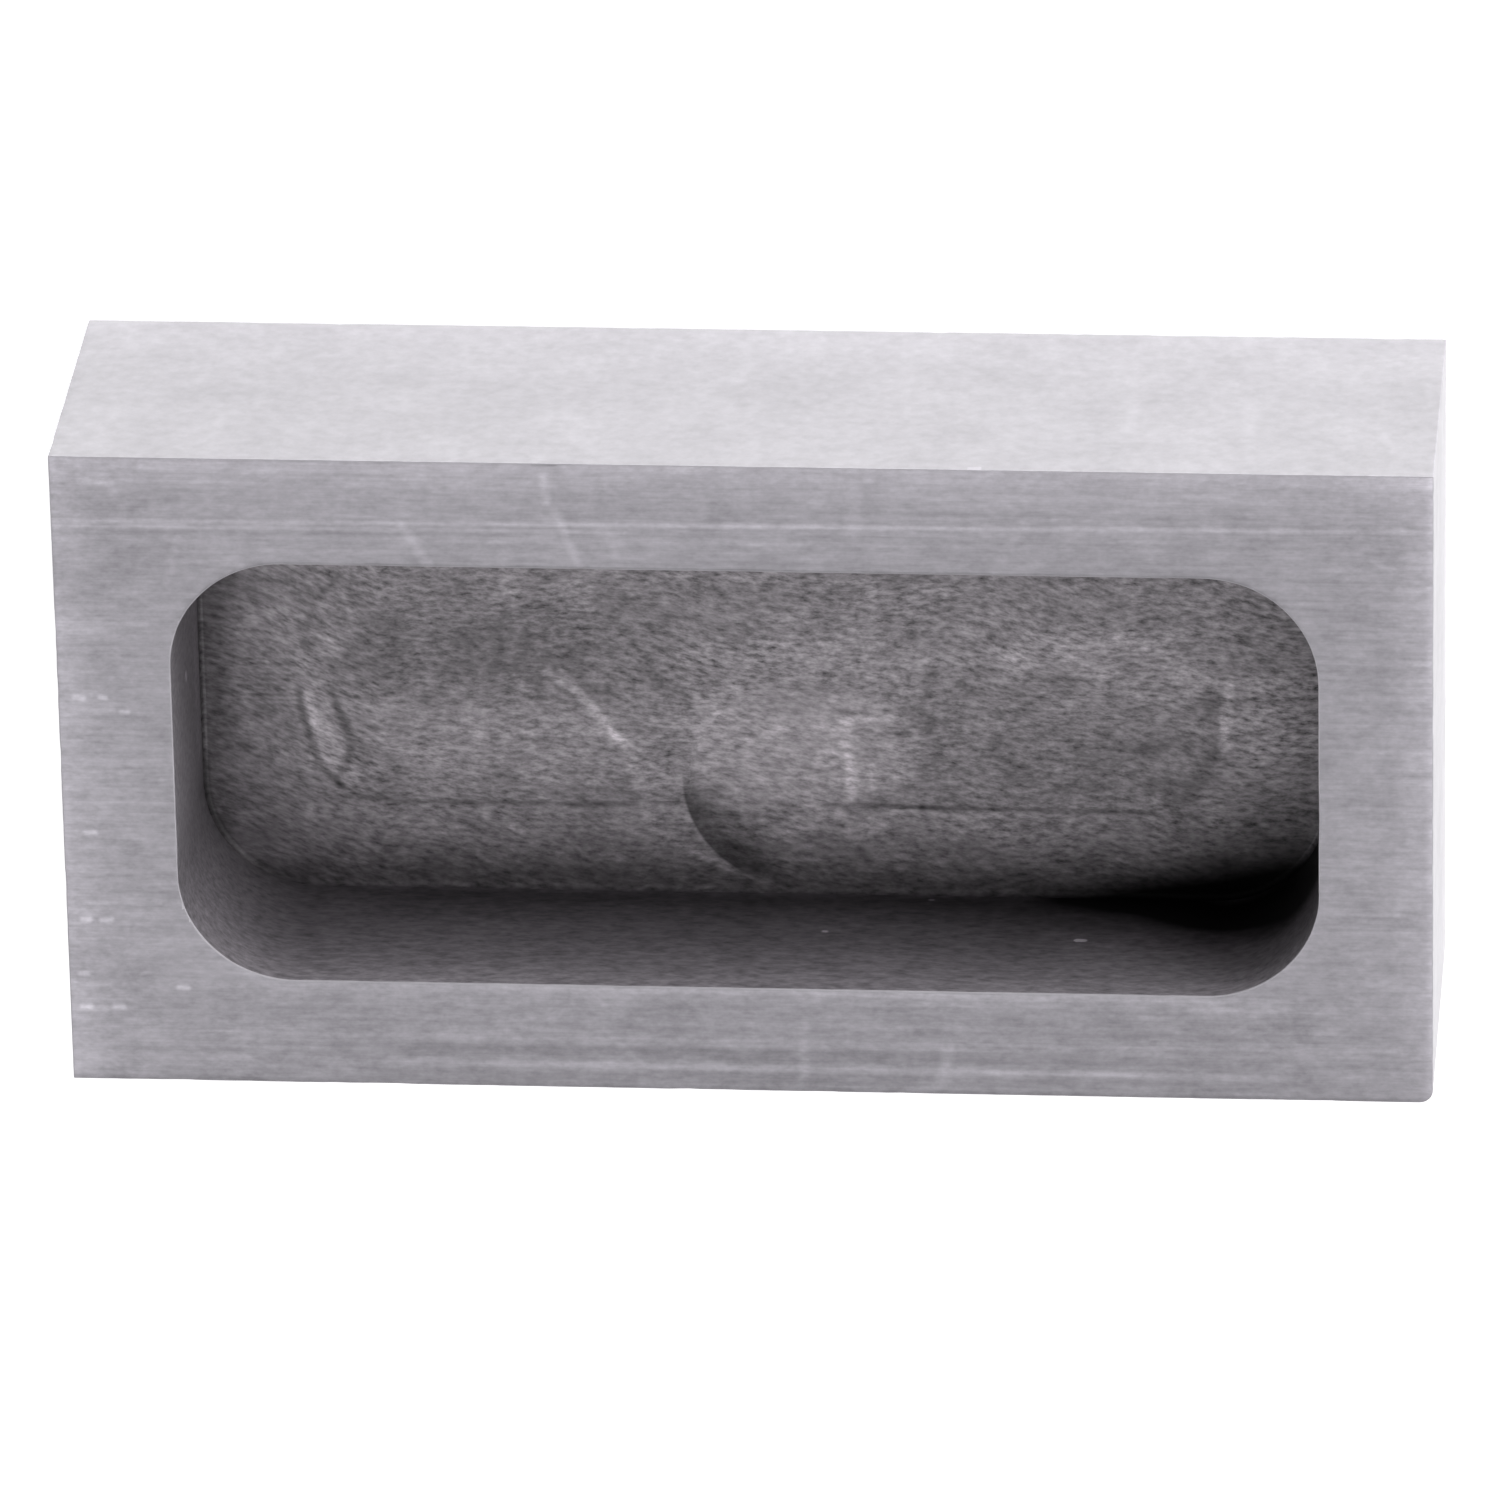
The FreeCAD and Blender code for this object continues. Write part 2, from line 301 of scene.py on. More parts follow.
@dataclass
class Nodes:
    """A node tree, and short calls that fill it.

    Attributes:
        tree: The tree of a material, a world or a shader node group.
    """

    tree: bpy.types.NodeTree

    def put(
        self, kind: str, feeds: dict[str | int, Value] | None = None, **settings: object
    ) -> bpy.types.Node:
        """Adds a node.

        Args:
            kind: The node's type, without the words ShaderNode.
            feeds: What each named or numbered input gets: another node's output, or a value.
            **settings: The node's own settings.

        Returns:
            The node.
        """
        node = self.tree.nodes.new(f"ShaderNode{kind}")
        for name, setting in settings.items():
            setattr(node, name, setting)
        for name, value in (feeds or {}).items():
            self.feed(node.inputs[name], value)
        return node

    def feed(self, socket: Socket, value: Value) -> None:
        """Links an output to an input, or sets the input's value."""
        if isinstance(value, Socket):
            self.tree.links.new(value, socket)
        elif isinstance(value, tuple) and len(value) < len(socket.default_value):
            socket.default_value = (*value, 1.0)
        else:
            socket.default_value = value

    def number(self, operation: str, *values: Value) -> Socket:
        """Works out one number from others with a Math node's operation."""
        return self.put("Math", dict(enumerate(values)), operation=operation).outputs[0]

    def product(self, *factors: Value) -> Socket:
        """Multiplies two or more numbers."""
        return reduce(lambda so_far, factor: self.number("MULTIPLY", so_far, factor), factors)

    def total(self, *terms: Value) -> Socket:
        """Adds two or more numbers."""
        return reduce(lambda so_far, term: self.number("ADD", so_far, term), terms)

    def vector(self, operation: str, *values: Value) -> Socket:
        """Works out one vector from others with a Vector Math node's operation."""
        node = self.put("VectorMath", dict(enumerate(values)), operation=operation)
        return node.outputs["Vector"]

    def scaled(self, vector: Value, share: Value) -> Socket:
        """Multiplies a vector or a colour by one number."""
        feeds = {0: vector, "Scale": share}
        return self.put("VectorMath", feeds, operation="SCALE").outputs["Vector"]

    def reach(self, vector: Value) -> Socket:
        """The length of a vector."""
        return self.put("VectorMath", {0: vector}, operation="LENGTH").outputs["Value"]

    def dot(self, first: Value, second: Value) -> Socket:
        """The dot product of two vectors."""
        feeds = {0: first, 1: second}
        return self.put("VectorMath", feeds, operation="DOT_PRODUCT").outputs["Value"]

    def split(self, vector: Value) -> tuple[Socket, Socket, Socket]:
        """The X, Y and Z of a vector."""
        return tuple(self.put("SeparateXYZ", {0: vector}).outputs)

    def joined(self, x: Value, y: Value, z: Value = 0.0) -> Socket:
        """A vector of its X, Y and Z."""
        return self.put("CombineXYZ", {0: x, 1: y, 2: z}).outputs[0]

    def fade(self, value: Value, none: Value, full: Value) -> Socket:
        """Goes softly from 0 to 1 as a value goes from none to full."""
        feeds = {"Value": value, "From Min": none, "From Max": full}
        return self.put("MapRange", feeds, interpolation_type="SMOOTHSTEP").outputs["Result"]

    def fade_each(self, vector: Value, none: float, full: float) -> Socket:
        """Goes softly from 0 to 1 in each of a vector's X, Y and Z by itself."""
        # These two inputs share their names with the ones for plain numbers.
        from_min, from_max = 7, 8
        feeds = {"Vector": vector, from_min: (none,) * 3, from_max: (full,) * 3}
        soft = {"data_type": "FLOAT_VECTOR", "interpolation_type": "SMOOTHSTEP"}
        return self.put("MapRange", feeds, **soft).outputs["Vector"]

    def spread(self, value: Value, low: Value, high: Value) -> Socket:
        """Moves a level between 0 and 1 to lie between low and high."""
        feeds = {"Value": value, "To Min": low, "To Max": high}
        return self.put("MapRange", feeds, clamp=False).outputs["Result"]

    def noise(self, place: Value, detail: float, roughness: float = 0.5) -> Socket:
        """A soft random level about a half, with one swell for each unit of place."""
        feeds = {"Vector": place, "Scale": 1.0, "Detail": detail, "Roughness": roughness}
        return self.put("TexNoise", feeds, noise_dimensions="3D").outputs["Fac"]

    def flat(self, place: Value, plane: Plane) -> Socket:
        """The place along a plane's two directions in millimetres, as a vector's X and Y."""
        parts = dict(zip("XYZ", self.split(self.scaled(place, 1 / MILLIMETRE))))
        return self.joined(*(parts[direction] for direction in plane.value))


@dataclass(frozen=True)
class Pin:
    """An input or output of a shared effect.

    Attributes:
        name: Its name on the node.
        kind: What it carries.
        value: What an input holds when nothing feeds it.
    """

    name: str
    kind: PinKind = PinKind.NUMBER
    value: float = 0.0


PLACE = Pin("Place", PinKind.VECTOR)
LENGTH = Pin("Length", value=MILLIMETRE)
WIDTH = Pin("Width", value=MILLIMETRE)
CENTRE = Pin("Centre", PinKind.VECTOR)
SEED = Pin("Seed")


class Effect:
    """A pattern that the finishes share, as one shader node group with a single output.

    Attributes:
        name: The group's name.
        inputs: The group's inputs, in order.
        output: The group's output.
    """

    name: ClassVar[str]
    inputs: ClassVar[tuple[Pin, ...]]
    output: ClassVar[Pin] = Pin("Mask")

    @classmethod
    def wire(cls, nodes: Nodes, given: dict[str, Socket]) -> Socket:
        """Wires the pattern.

        Args:
            nodes: The group's tree.
            given: The group's inputs, by name.

        Returns:
            What the group puts out.
        """
        raise NotImplementedError

    @staticmethod
    def squeezed(nodes: Nodes, place: Value, given: dict[str, Socket]) -> Socket:
        """Measures a place in units of the given length and width.

        Args:
            nodes: The group's tree.
            place: The place.
            given: The group's inputs, a length, a width and a seed among them.

        Returns:
            The place in those units, moved on by the seed.
        """
        x, y, z = nodes.split(place)
        along = nodes.number("DIVIDE", x, given["Length"])
        across = nodes.number("DIVIDE", y, given["Width"])
        depth = nodes.number("DIVIDE", z, given["Width"])
        return nodes.joined(along, across, nodes.total(depth, given["Seed"]))

    @classmethod
    def tree(cls) -> bpy.types.NodeTree:
        """Returns the group, which is built the first time that it is asked for."""
        found = bpy.data.node_groups.get(cls.name)
        if found:
            return found
        tree = bpy.data.node_groups.new(cls.name, "ShaderNodeTree")
        new_socket, out = tree.interface.new_socket, cls.output
        for pin in cls.inputs:
            socket = new_socket(pin.name, in_out="INPUT", socket_type=pin.kind.value)
            if pin.kind is PinKind.NUMBER:
                socket.default_value = pin.value
        new_socket(out.name, in_out="OUTPUT", socket_type=out.kind.value)
        source = tree.nodes.new("NodeGroupInput")
        given = {pin.name: source.outputs[pin.name] for pin in cls.inputs}
        end = tree.nodes.new("NodeGroupOutput")
        tree.links.new(cls.wire(Nodes(tree), given), end.inputs[out.name])
        return tree

    @classmethod
    def put(cls, nodes: Nodes, **values: Value) -> Socket:
        """Places the effect in a tree with its own values.

        Args:
            nodes: The tree that gets it.
            **values: What each input gets, under the input's name in small letters.

        Returns:
            The effect's output.
        """
        node = nodes.tree.nodes.new("ShaderNodeGroup")
        node.node_tree = cls.tree()
        for pin in cls.inputs:
            key = pin.name.lower().replace(" ", "_")
            if key in values:
                nodes.feed(node.inputs[pin.name], values[key])
        return node.outputs[cls.output.name]


class Grain(Effect):
    """Flecks of any length and width, as a level about the middle one.

    Attributes:
        middle: The level between the dark flecks and the pale ones.
        detail: How many finer patterns lie over the flecks.
        harshness: How strong each of those is, as a share of the one before.
    """

    name = "Grain"
    inputs = (PLACE, LENGTH, WIDTH, Pin("Slant"), SEED)
    output = Pin("Level")
    middle: ClassVar[float] = 0.5
    detail: ClassVar[float] = 3.0
    harshness: ClassVar[float] = 0.65

    @classmethod
    def wire(cls, nodes: Nodes, given: dict[str, Socket]) -> Socket:
        """Turns the place by the slant, squeezes it by the flecks' size and reads a noise."""
        feeds = {"Vector": given["Place"], "Angle": given["Slant"]}
        turned = nodes.put("VectorRotate", feeds, rotation_type="Z_AXIS").outputs[0]
        return nodes.noise(cls.squeezed(nodes, turned, given), cls.detail, cls.harshness)


class Streak(Effect):
    """A straight soft mark between two points, fading at its ends."""

    name = "Streak"
    inputs = (PLACE, Pin("Start", PinKind.VECTOR), Pin("End", PinKind.VECTOR), WIDTH)

    @classmethod
    def wire(cls, nodes: Nodes, given: dict[str, Socket]) -> Socket:
        """Fades out with the distance from the line between the points."""
        run = nodes.vector("SUBTRACT", given["End"], given["Start"])
        offset = nodes.vector("SUBTRACT", given["Place"], given["Start"])
        share = nodes.number("DIVIDE", nodes.dot(offset, run), nodes.dot(run, run))
        held = nodes.put("Clamp", {"Value": share}).outputs[0]
        gap = nodes.reach(nodes.vector("SUBTRACT", offset, nodes.scaled(run, held)))
        return nodes.fade(gap, given["Width"], 0.0)


class Ring(Effect):
    """A soft band along part of a circle."""

    name = "Ring"
    inputs = (
        PLACE,
        CENTRE,
        Pin("Radius", value=0.01),
        Pin("Inner width", value=MILLIMETRE),
        Pin("Outer width", value=MILLIMETRE),
        Pin("Bearing", PinKind.VECTOR),
        Pin("Spread", value=0.5),
    )

    @classmethod
    def wire(cls, nodes: Nodes, given: dict[str, Socket]) -> Socket:
        """Fades out with the distance from the circle and with the angle from the bearing."""
        offset = nodes.vector("SUBTRACT", given["Place"], given["Centre"])
        beyond = nodes.number("SUBTRACT", nodes.reach(offset), given["Radius"])
        inner = nodes.fade(beyond, nodes.product(given["Inner width"], -1.0), 0.0)
        outer = nodes.fade(beyond, given["Outer width"], 0.0)
        towards = nodes.dot(nodes.vector("NORMALIZE", offset), given["Bearing"])
        return nodes.product(inner, outer, nodes.fade(towards, given["Spread"], 1.0))


class Patch(Effect):
    """A rectangle whose ends and sides fade each over their own width."""

    name = "Patch"
    inputs = (PLACE, CENTRE, Pin("Half", PinKind.VECTOR), Pin("Softness", PinKind.VECTOR))

    @classmethod
    def wire(cls, nodes: Nodes, given: dict[str, Socket]) -> Socket:
        """Fades out across the rectangle's outline, in each direction by itself."""
        offset = nodes.vector("SUBTRACT", given["Place"], given["Centre"])
        beyond = nodes.vector("SUBTRACT", nodes.vector("ABSOLUTE", offset), given["Half"])
        share = nodes.vector("DIVIDE", beyond, given["Softness"])
        return nodes.product(*nodes.split(nodes.fade_each(share, 1.0, -1.0)))


class Crumbs(Effect):
    """Scattered specks, one at most in each cell of a grid.

    Attributes:
        smallest: How far the smallest ones reach, in cells.
        largest: How far the largest ones reach.
    """

    name = "Crumbs"
    inputs = (PLACE, LENGTH, WIDTH, Pin("Share", value=0.1), SEED)
    smallest: ClassVar[float] = 0.12
    largest: ClassVar[float] = 0.34

    @classmethod
    def wire(cls, nodes: Nodes, given: dict[str, Socket]) -> Socket:
        """Keeps the cells whose random number is under the share, and fades from their points."""
        place = cls.squeezed(nodes, given["Place"], given)
        cells = nodes.put("TexVoronoi", {"Vector": place, "Scale": 1.0})
        chance, size, _ = nodes.split(cells.outputs["Color"])
        kept = nodes.number("LESS_THAN", chance, given["Share"])
        reach = nodes.spread(size, cls.smallest, cls.largest)
        return nodes.product(kept, nodes.fade(cells.outputs["Distance"], reach, 0.0))


class Mark:
    """A mark on a surface, or painted light or shade on it.

    Attributes:
        strength: How much paler it is, as a share, or darker below zero.
    """

    strength: float

    def mask(self, nodes: Nodes, place: Socket) -> Value:
        """Wires where the mark is.

        Args:
            nodes: The material's tree.
            place: The place along the surface's two directions, in millimetres.

        Returns:
            A level, 0 off the mark and 1 where it is full.
        """
        raise NotImplementedError


@dataclass(frozen=True)
class PathMark(Mark):
    """A mark along a line through some points on a surface, in millimetres.

    Attributes:
        points: The points, along the surface's two directions.
        width: How far from its line it fades out.
        strength: How much paler it is, as a share, or darker below zero.
    """

    points: tuple[Point, ...]
    width: float
    strength: float

    def mask(self, nodes: Nodes, place: Socket) -> Value:
        """Where the mark is: the most of its straight pieces."""
        most: Value = 0.0
        for first, last in zip(self.points, self.points[1:]):
            ends = {"start": (*first, 0.0), "end": (*last, 0.0)}
            piece = Streak.put(nodes, place=place, width=self.width, **ends)
            most = nodes.number("MAXIMUM", most, piece)
        return most


@dataclass(frozen=True)
class RingMark(Mark):
    """A mark along part of a circle, in millimetres.

    Attributes:
        centre: The circle's centre, along the surface's two directions.
        radius: The circle's radius.
        inner_width: How far inside the circle it fades out.
        outer_width: How far outside.
        bearing: The direction of its middle, in degrees from the first direction to the second.
        half_turn: How far along the circle it fades out each way, in degrees.
        strength: How much paler it is, as a share, or darker below zero.
    """

    centre: Point
    radius: float
    inner_width: float
    outer_width: float
    bearing: float
    half_turn: float
    strength: float

    def mask(self, nodes: Nodes, place: Socket) -> Socket:
        """Where the mark is."""
        angle = math.radians(self.bearing)
        return Ring.put(
            nodes,
            place=place,
            centre=(*self.centre, 0.0),
            radius=self.radius,
            inner_width=self.inner_width,
            outer_width=self.outer_width,
            bearing=(math.cos(angle), math.sin(angle), 0.0),
            spread=math.cos(math.radians(self.half_turn)),
        )


@dataclass(frozen=True)
class PatchMark(Mark):
    """A soft patch on a surface, in millimetres.

    Attributes:
        low: Its lowest corner, along the surface's two directions.
        high: Its highest corner.
        softness: How far to each side of its outline it fades, at its ends and at its sides.
        strength: How much paler it is, as a share, or darker below zero.
    """

    low: Point
    high: Point
    softness: Point
    strength: float

    def mask(self, nodes: Nodes, place: Socket) -> Socket:
        """Where the mark is."""
        centre = tuple((low + high) / 2 for low, high in zip(self.low, self.high))
        half = tuple((high - low) / 2 for low, high in zip(self.low, self.high))
        sizes = {"centre": (*centre, 0.0), "half": (*half, 0.0), "softness": (*self.softness, 1.0)}
        return Patch.put(nodes, place=place, **sizes)


@dataclass(frozen=True)
class DustMark(PatchMark):
    """Specks strewn over a patch of a surface, in millimetres.

    Attributes:
        spacing: The size of the cells that hold one speck at most.
        share: How many of the cells hold one.
    """

    spacing: Point
    share: float

    def mask(self, nodes: Nodes, place: Socket) -> Socket:
        """Where the specks are."""
        patch = super().mask(nodes, place)
        length, width = self.spacing
        specks = Crumbs.put(nodes, place=place, length=length, width=width, share=self.share)
        return nodes.product(patch, specks)


@dataclass(frozen=True)
class CombMark(PatchMark):
    """Fine lines along a surface's first direction, over a patch of it, in millimetres.

    Attributes:
        pitch: The distance between lines.
    """

    pitch: float

    def mask(self, nodes: Nodes, place: Socket) -> Socket:
        """Where the lines are, full on each and below zero between two."""
        patch = super().mask(nodes, place)
        turns = nodes.product(nodes.split(place)[1], math.tau / self.pitch)
        return nodes.product(patch, nodes.number("SINE", turns))


Marks = tuple[Mark, ...]


@dataclass(frozen=True)
class Layer:
    """One layer of flecks, lines or clouds in a finish.

    Attributes:
        length: How long they are.
        width: How wide they are.
        seed: What tells the layer's pattern from other layers'.
        low: The level of the darkest ones.
        high: The level of the palest ones.
        slant: How far they turn, in degrees from +X towards -Y.
    """

    length: float
    width: float
    seed: float
    low: float = 0.0
    high: float = 1.0
    slant: float = 0.0

    def grain(self, nodes: Nodes, place: Socket) -> Socket:
        """The layer as a level about the grain's middle."""
        sizes = {"length": self.length, "width": self.width, "slant": math.radians(self.slant)}
        return Grain.put(nodes, place=place, seed=self.seed, **sizes)

    def spread(self, nodes: Nodes, grain: Socket) -> Socket:
        """The layer's grain, moved to lie between its low and high."""
        return nodes.spread(grain, self.low, self.high)

    def tone(self, nodes: Nodes, place: Socket) -> Socket:
        """The layer as a level between its low and high."""
        return self.spread(nodes, self.grain(nodes, place))


@dataclass(frozen=True)
class Finish:
    """What all the mould's finishes share: bare graphite, a dull half metallic grey.

    Attributes:
        name: The material's name.
        tint: The colour at an even tone.
        marks: The marks and the painted light and shade on it, by the plane that their points are
            given in.
        metallic: How much of the sheen is metallic.
        roughness: How wide the sheen is.
        depth: How high the relief stands where its level is 1.
        darkest: The least share of the tone that marks leave.
    """

    name: str
    tint: tuple[float, float, float]
    marks: dict[Plane, Marks] = field(default_factory=dict)
    metallic: float = 0.5
    roughness: float = 0.5
    depth: float = 0.00001
    darkest: float = 0.02

    def relief(self, nodes: Nodes, place: Socket) -> Socket:
        """Wires how far the surface stands out.

        Args:
            nodes: The material's tree.
            place: The place on the object.

        Returns:
            The relief, as a level between 0 and about 1.
        """
        raise NotImplementedError

    def tone(self, nodes: Nodes, place: Socket, relief: Socket) -> Socket:
        """Wires how pale the surface is before its marks.

        Args:
            nodes: The material's tree.
            place: The place on the object.
            relief: The level of the surface's relief there.

        Returns:
            The level that multiplies the tint, about 1.
        """
        raise NotImplementedError

    def marked(self, nodes: Nodes, tone: Value, marks: Marks, place: Socket) -> Socket:
        """Adds marks, and painted light and shade, to a tone.

        Args:
            nodes: The material's tree.
            tone: The tone so far.
            marks: The marks, and the painted light and shade.
            place: The place along the surface's two directions.

        Returns:
            The tone with the marks.
        """
        level: Value = 1.0
        for mark in marks:
            level = nodes.number("MULTIPLY_ADD", mark.mask(nodes, place), mark.strength, level)
        return nodes.product(tone, nodes.number("MAXIMUM", level, self.darkest))

    def material(self) -> bpy.types.Material:
        """Builds the finish's material.

        Returns:
            The material.
        """
        material = bpy.data.materials.new(self.name)
        material.use_nodes = True
        nodes = Nodes(material.node_tree)
        shader = material.node_tree.nodes["Principled BSDF"]
        place = nodes.put("TexCoord").outputs["Object"]
        relief = self.relief(nodes, place)
        tone = self.tone(nodes, place, relief)
        for plane, marks in self.marks.items():
            tone = self.marked(nodes, tone, marks, nodes.flat(place, plane))
        nodes.feed(shader.inputs["Base Color"], nodes.scaled(self.tint, tone))
        nodes.feed(shader.inputs["Metallic"], self.metallic)
        nodes.feed(shader.inputs["Roughness"], self.roughness)
        bump = nodes.put("Bump", {"Height": nodes.product(relief, self.depth), "Distance": 1.0})
        nodes.feed(shader.inputs["Normal"], bump.outputs["Normal"])
        return material


@dataclass(frozen=True)
class SawnRim(Finish):
    """The rim: fine saw lines along the block, with flecks, blots and clouds over them.

    Attributes:
        lines: The saw lines that run on, and the short ones between them.
        blemishes: The flecks, blots and clouds.
        contrast_marks: Where the blemishes stand out more or less.
    """

    depth: float = 0.000004
    lines: tuple[Layer, ...] = (
        Layer(0.05, 0.0007, 3.0, 0.83, 1.17),
        Layer(0.004, 0.0004, 11.0, 0.8, 1.2),
    )
    blemishes: tuple[Layer, ...] = (
        Layer(0.0009, 0.0006, 5.0, -0.2, 0.2),
        Layer(0.0028, 0.0014, 9.0, -0.25, 0.25),
        Layer(0.01, 0.005, 7.0, -0.16, 0.16),
    )
    contrast_marks: Marks = ()

    def relief(self, nodes: Nodes, place: Socket) -> Socket:
        """The saw lines, as a level about 1."""
        return nodes.product(*(layer.tone(nodes, place) for layer in self.lines))

    def tone(self, nodes: Nodes, place: Socket, relief: Socket) -> Socket:
        """The saw lines with the blemishes over them."""
        swing = nodes.total(*(layer.tone(nodes, place) for layer in self.blemishes))
        flat = nodes.flat(place, Plane.LEVEL)
        contrast = self.marked(nodes, 1.0, self.contrast_marks, flat)
        return nodes.product(relief, nodes.number("MULTIPLY_ADD", swing, contrast, 1.0))


@dataclass(frozen=True)
class RubbedSide(Finish):
    """The sides and the base: rubbed smooth and clouded.

    Attributes:
        flecks: The rubbed grain.
        clouds: The clouds over it.
    """

    depth: float = 0.000003
    flecks: Layer = Layer(0.0012, 0.0011, 21.0, 0.81, 1.19)
    clouds: Layer = Layer(0.009, 0.006, 23.0, 0.83, 1.17)

    def relief(self, nodes: Nodes, place: Socket) -> Socket:
        """The rubbed grain."""
        return self.flecks.grain(nodes, place)

    def tone(self, nodes: Nodes, place: Socket, relief: Socket) -> Socket:
        """The rubbed grain with the clouds over it."""
        return nodes.product(self.flecks.spread(nodes, relief), self.clouds.tone(nodes, place))


@dataclass(frozen=True)
class MilledFloor(Finish):
    """The cavity's floor: coarse torn flecks along the block, over large blots.

    Attributes:
        flecks: The torn flecks.
        blots: The blots under them.
        unevenness: How much the flecks stand out from place to place.
        darkest_fleck: The level of the darkest flecks.
        dip_place: Where the flecks' dip towards the left end begins, along X.
        dip: How steeply they dip there.
        wave_length: The length of the flecks' gentle waves.
        wave: How far they swing each way.
        contrast_marks: Where the flecks stand out more or less.
    """

    flecks: Layer = Layer(0.0012, 0.00048, 31.0, slant=6.0)
    blots: Layer = Layer(0.0035, 0.002, 33.0, 0.3, 1.7)
    unevenness: Layer = Layer(0.01, 0.005, 41.0, 0.9, 4.9)
    darkest_fleck: float = 0.15
    dip_place: float = -0.034
    dip: float = 0.25
    wave_length: float = 0.014
    wave: float = 0.0012
    contrast_marks: Marks = ()

    def swayed(self, nodes: Nodes, place: Socket) -> Socket:
        """Sways a place so that the flecks run in gentle waves and dip at the left end.

        Args:
            nodes: The material's tree.
            place: The place on the object.

        Returns:
            The swayed place.
        """
        swell = nodes.noise(nodes.scaled(place, 1 / self.wave_length), detail=0.0)
        wave = nodes.spread(swell, -self.wave, self.wave)
        past = nodes.number("SUBTRACT", self.dip_place, nodes.split(place)[0])
        dip = nodes.product(nodes.number("MAXIMUM", past, 0.0), -self.dip)
        return nodes.vector("ADD", place, nodes.joined(0.0, nodes.total(wave, dip)))

    def relief(self, nodes: Nodes, place: Socket) -> Socket:
        """The torn flecks."""
        return self.flecks.grain(nodes, self.swayed(nodes, place))

    def tone(self, nodes: Nodes, place: Socket, relief: Socket) -> Socket:
        """The torn flecks, with their uneven contrast, over the blots."""
        flat = nodes.flat(place, Plane.LEVEL)
        uneven = self.unevenness.tone(nodes, place)
        contrast = self.marked(nodes, uneven, self.contrast_marks, flat)
        swing = nodes.number("SUBTRACT", relief, Grain.middle)
        flecks = nodes.number("MULTIPLY_ADD", swing, contrast, 1.0)
        held = nodes.number("MAXIMUM", flecks, self.darkest_fleck)
        return nodes.product(held, self.blots.tone(nodes, place))


@dataclass(frozen=True)
class MilledWall(Finish):
    """The cavity's walls: fine flecks along the cut.

    Attributes:
        flecks: The flecks.
    """

    flecks: Layer = Layer(0.0014, 0.00055, 35.0, 0.15, 1.85)

    def relief(self, nodes: Nodes, place: Socket) -> Socket:
        """The flecks."""
        return self.flecks.grain(nodes, place)

    def tone(self, nodes: Nodes, place: Socket, relief: Socket) -> Socket:
        """The flecks, from dark to pale."""
        return self.flecks.spread(nodes, relief)


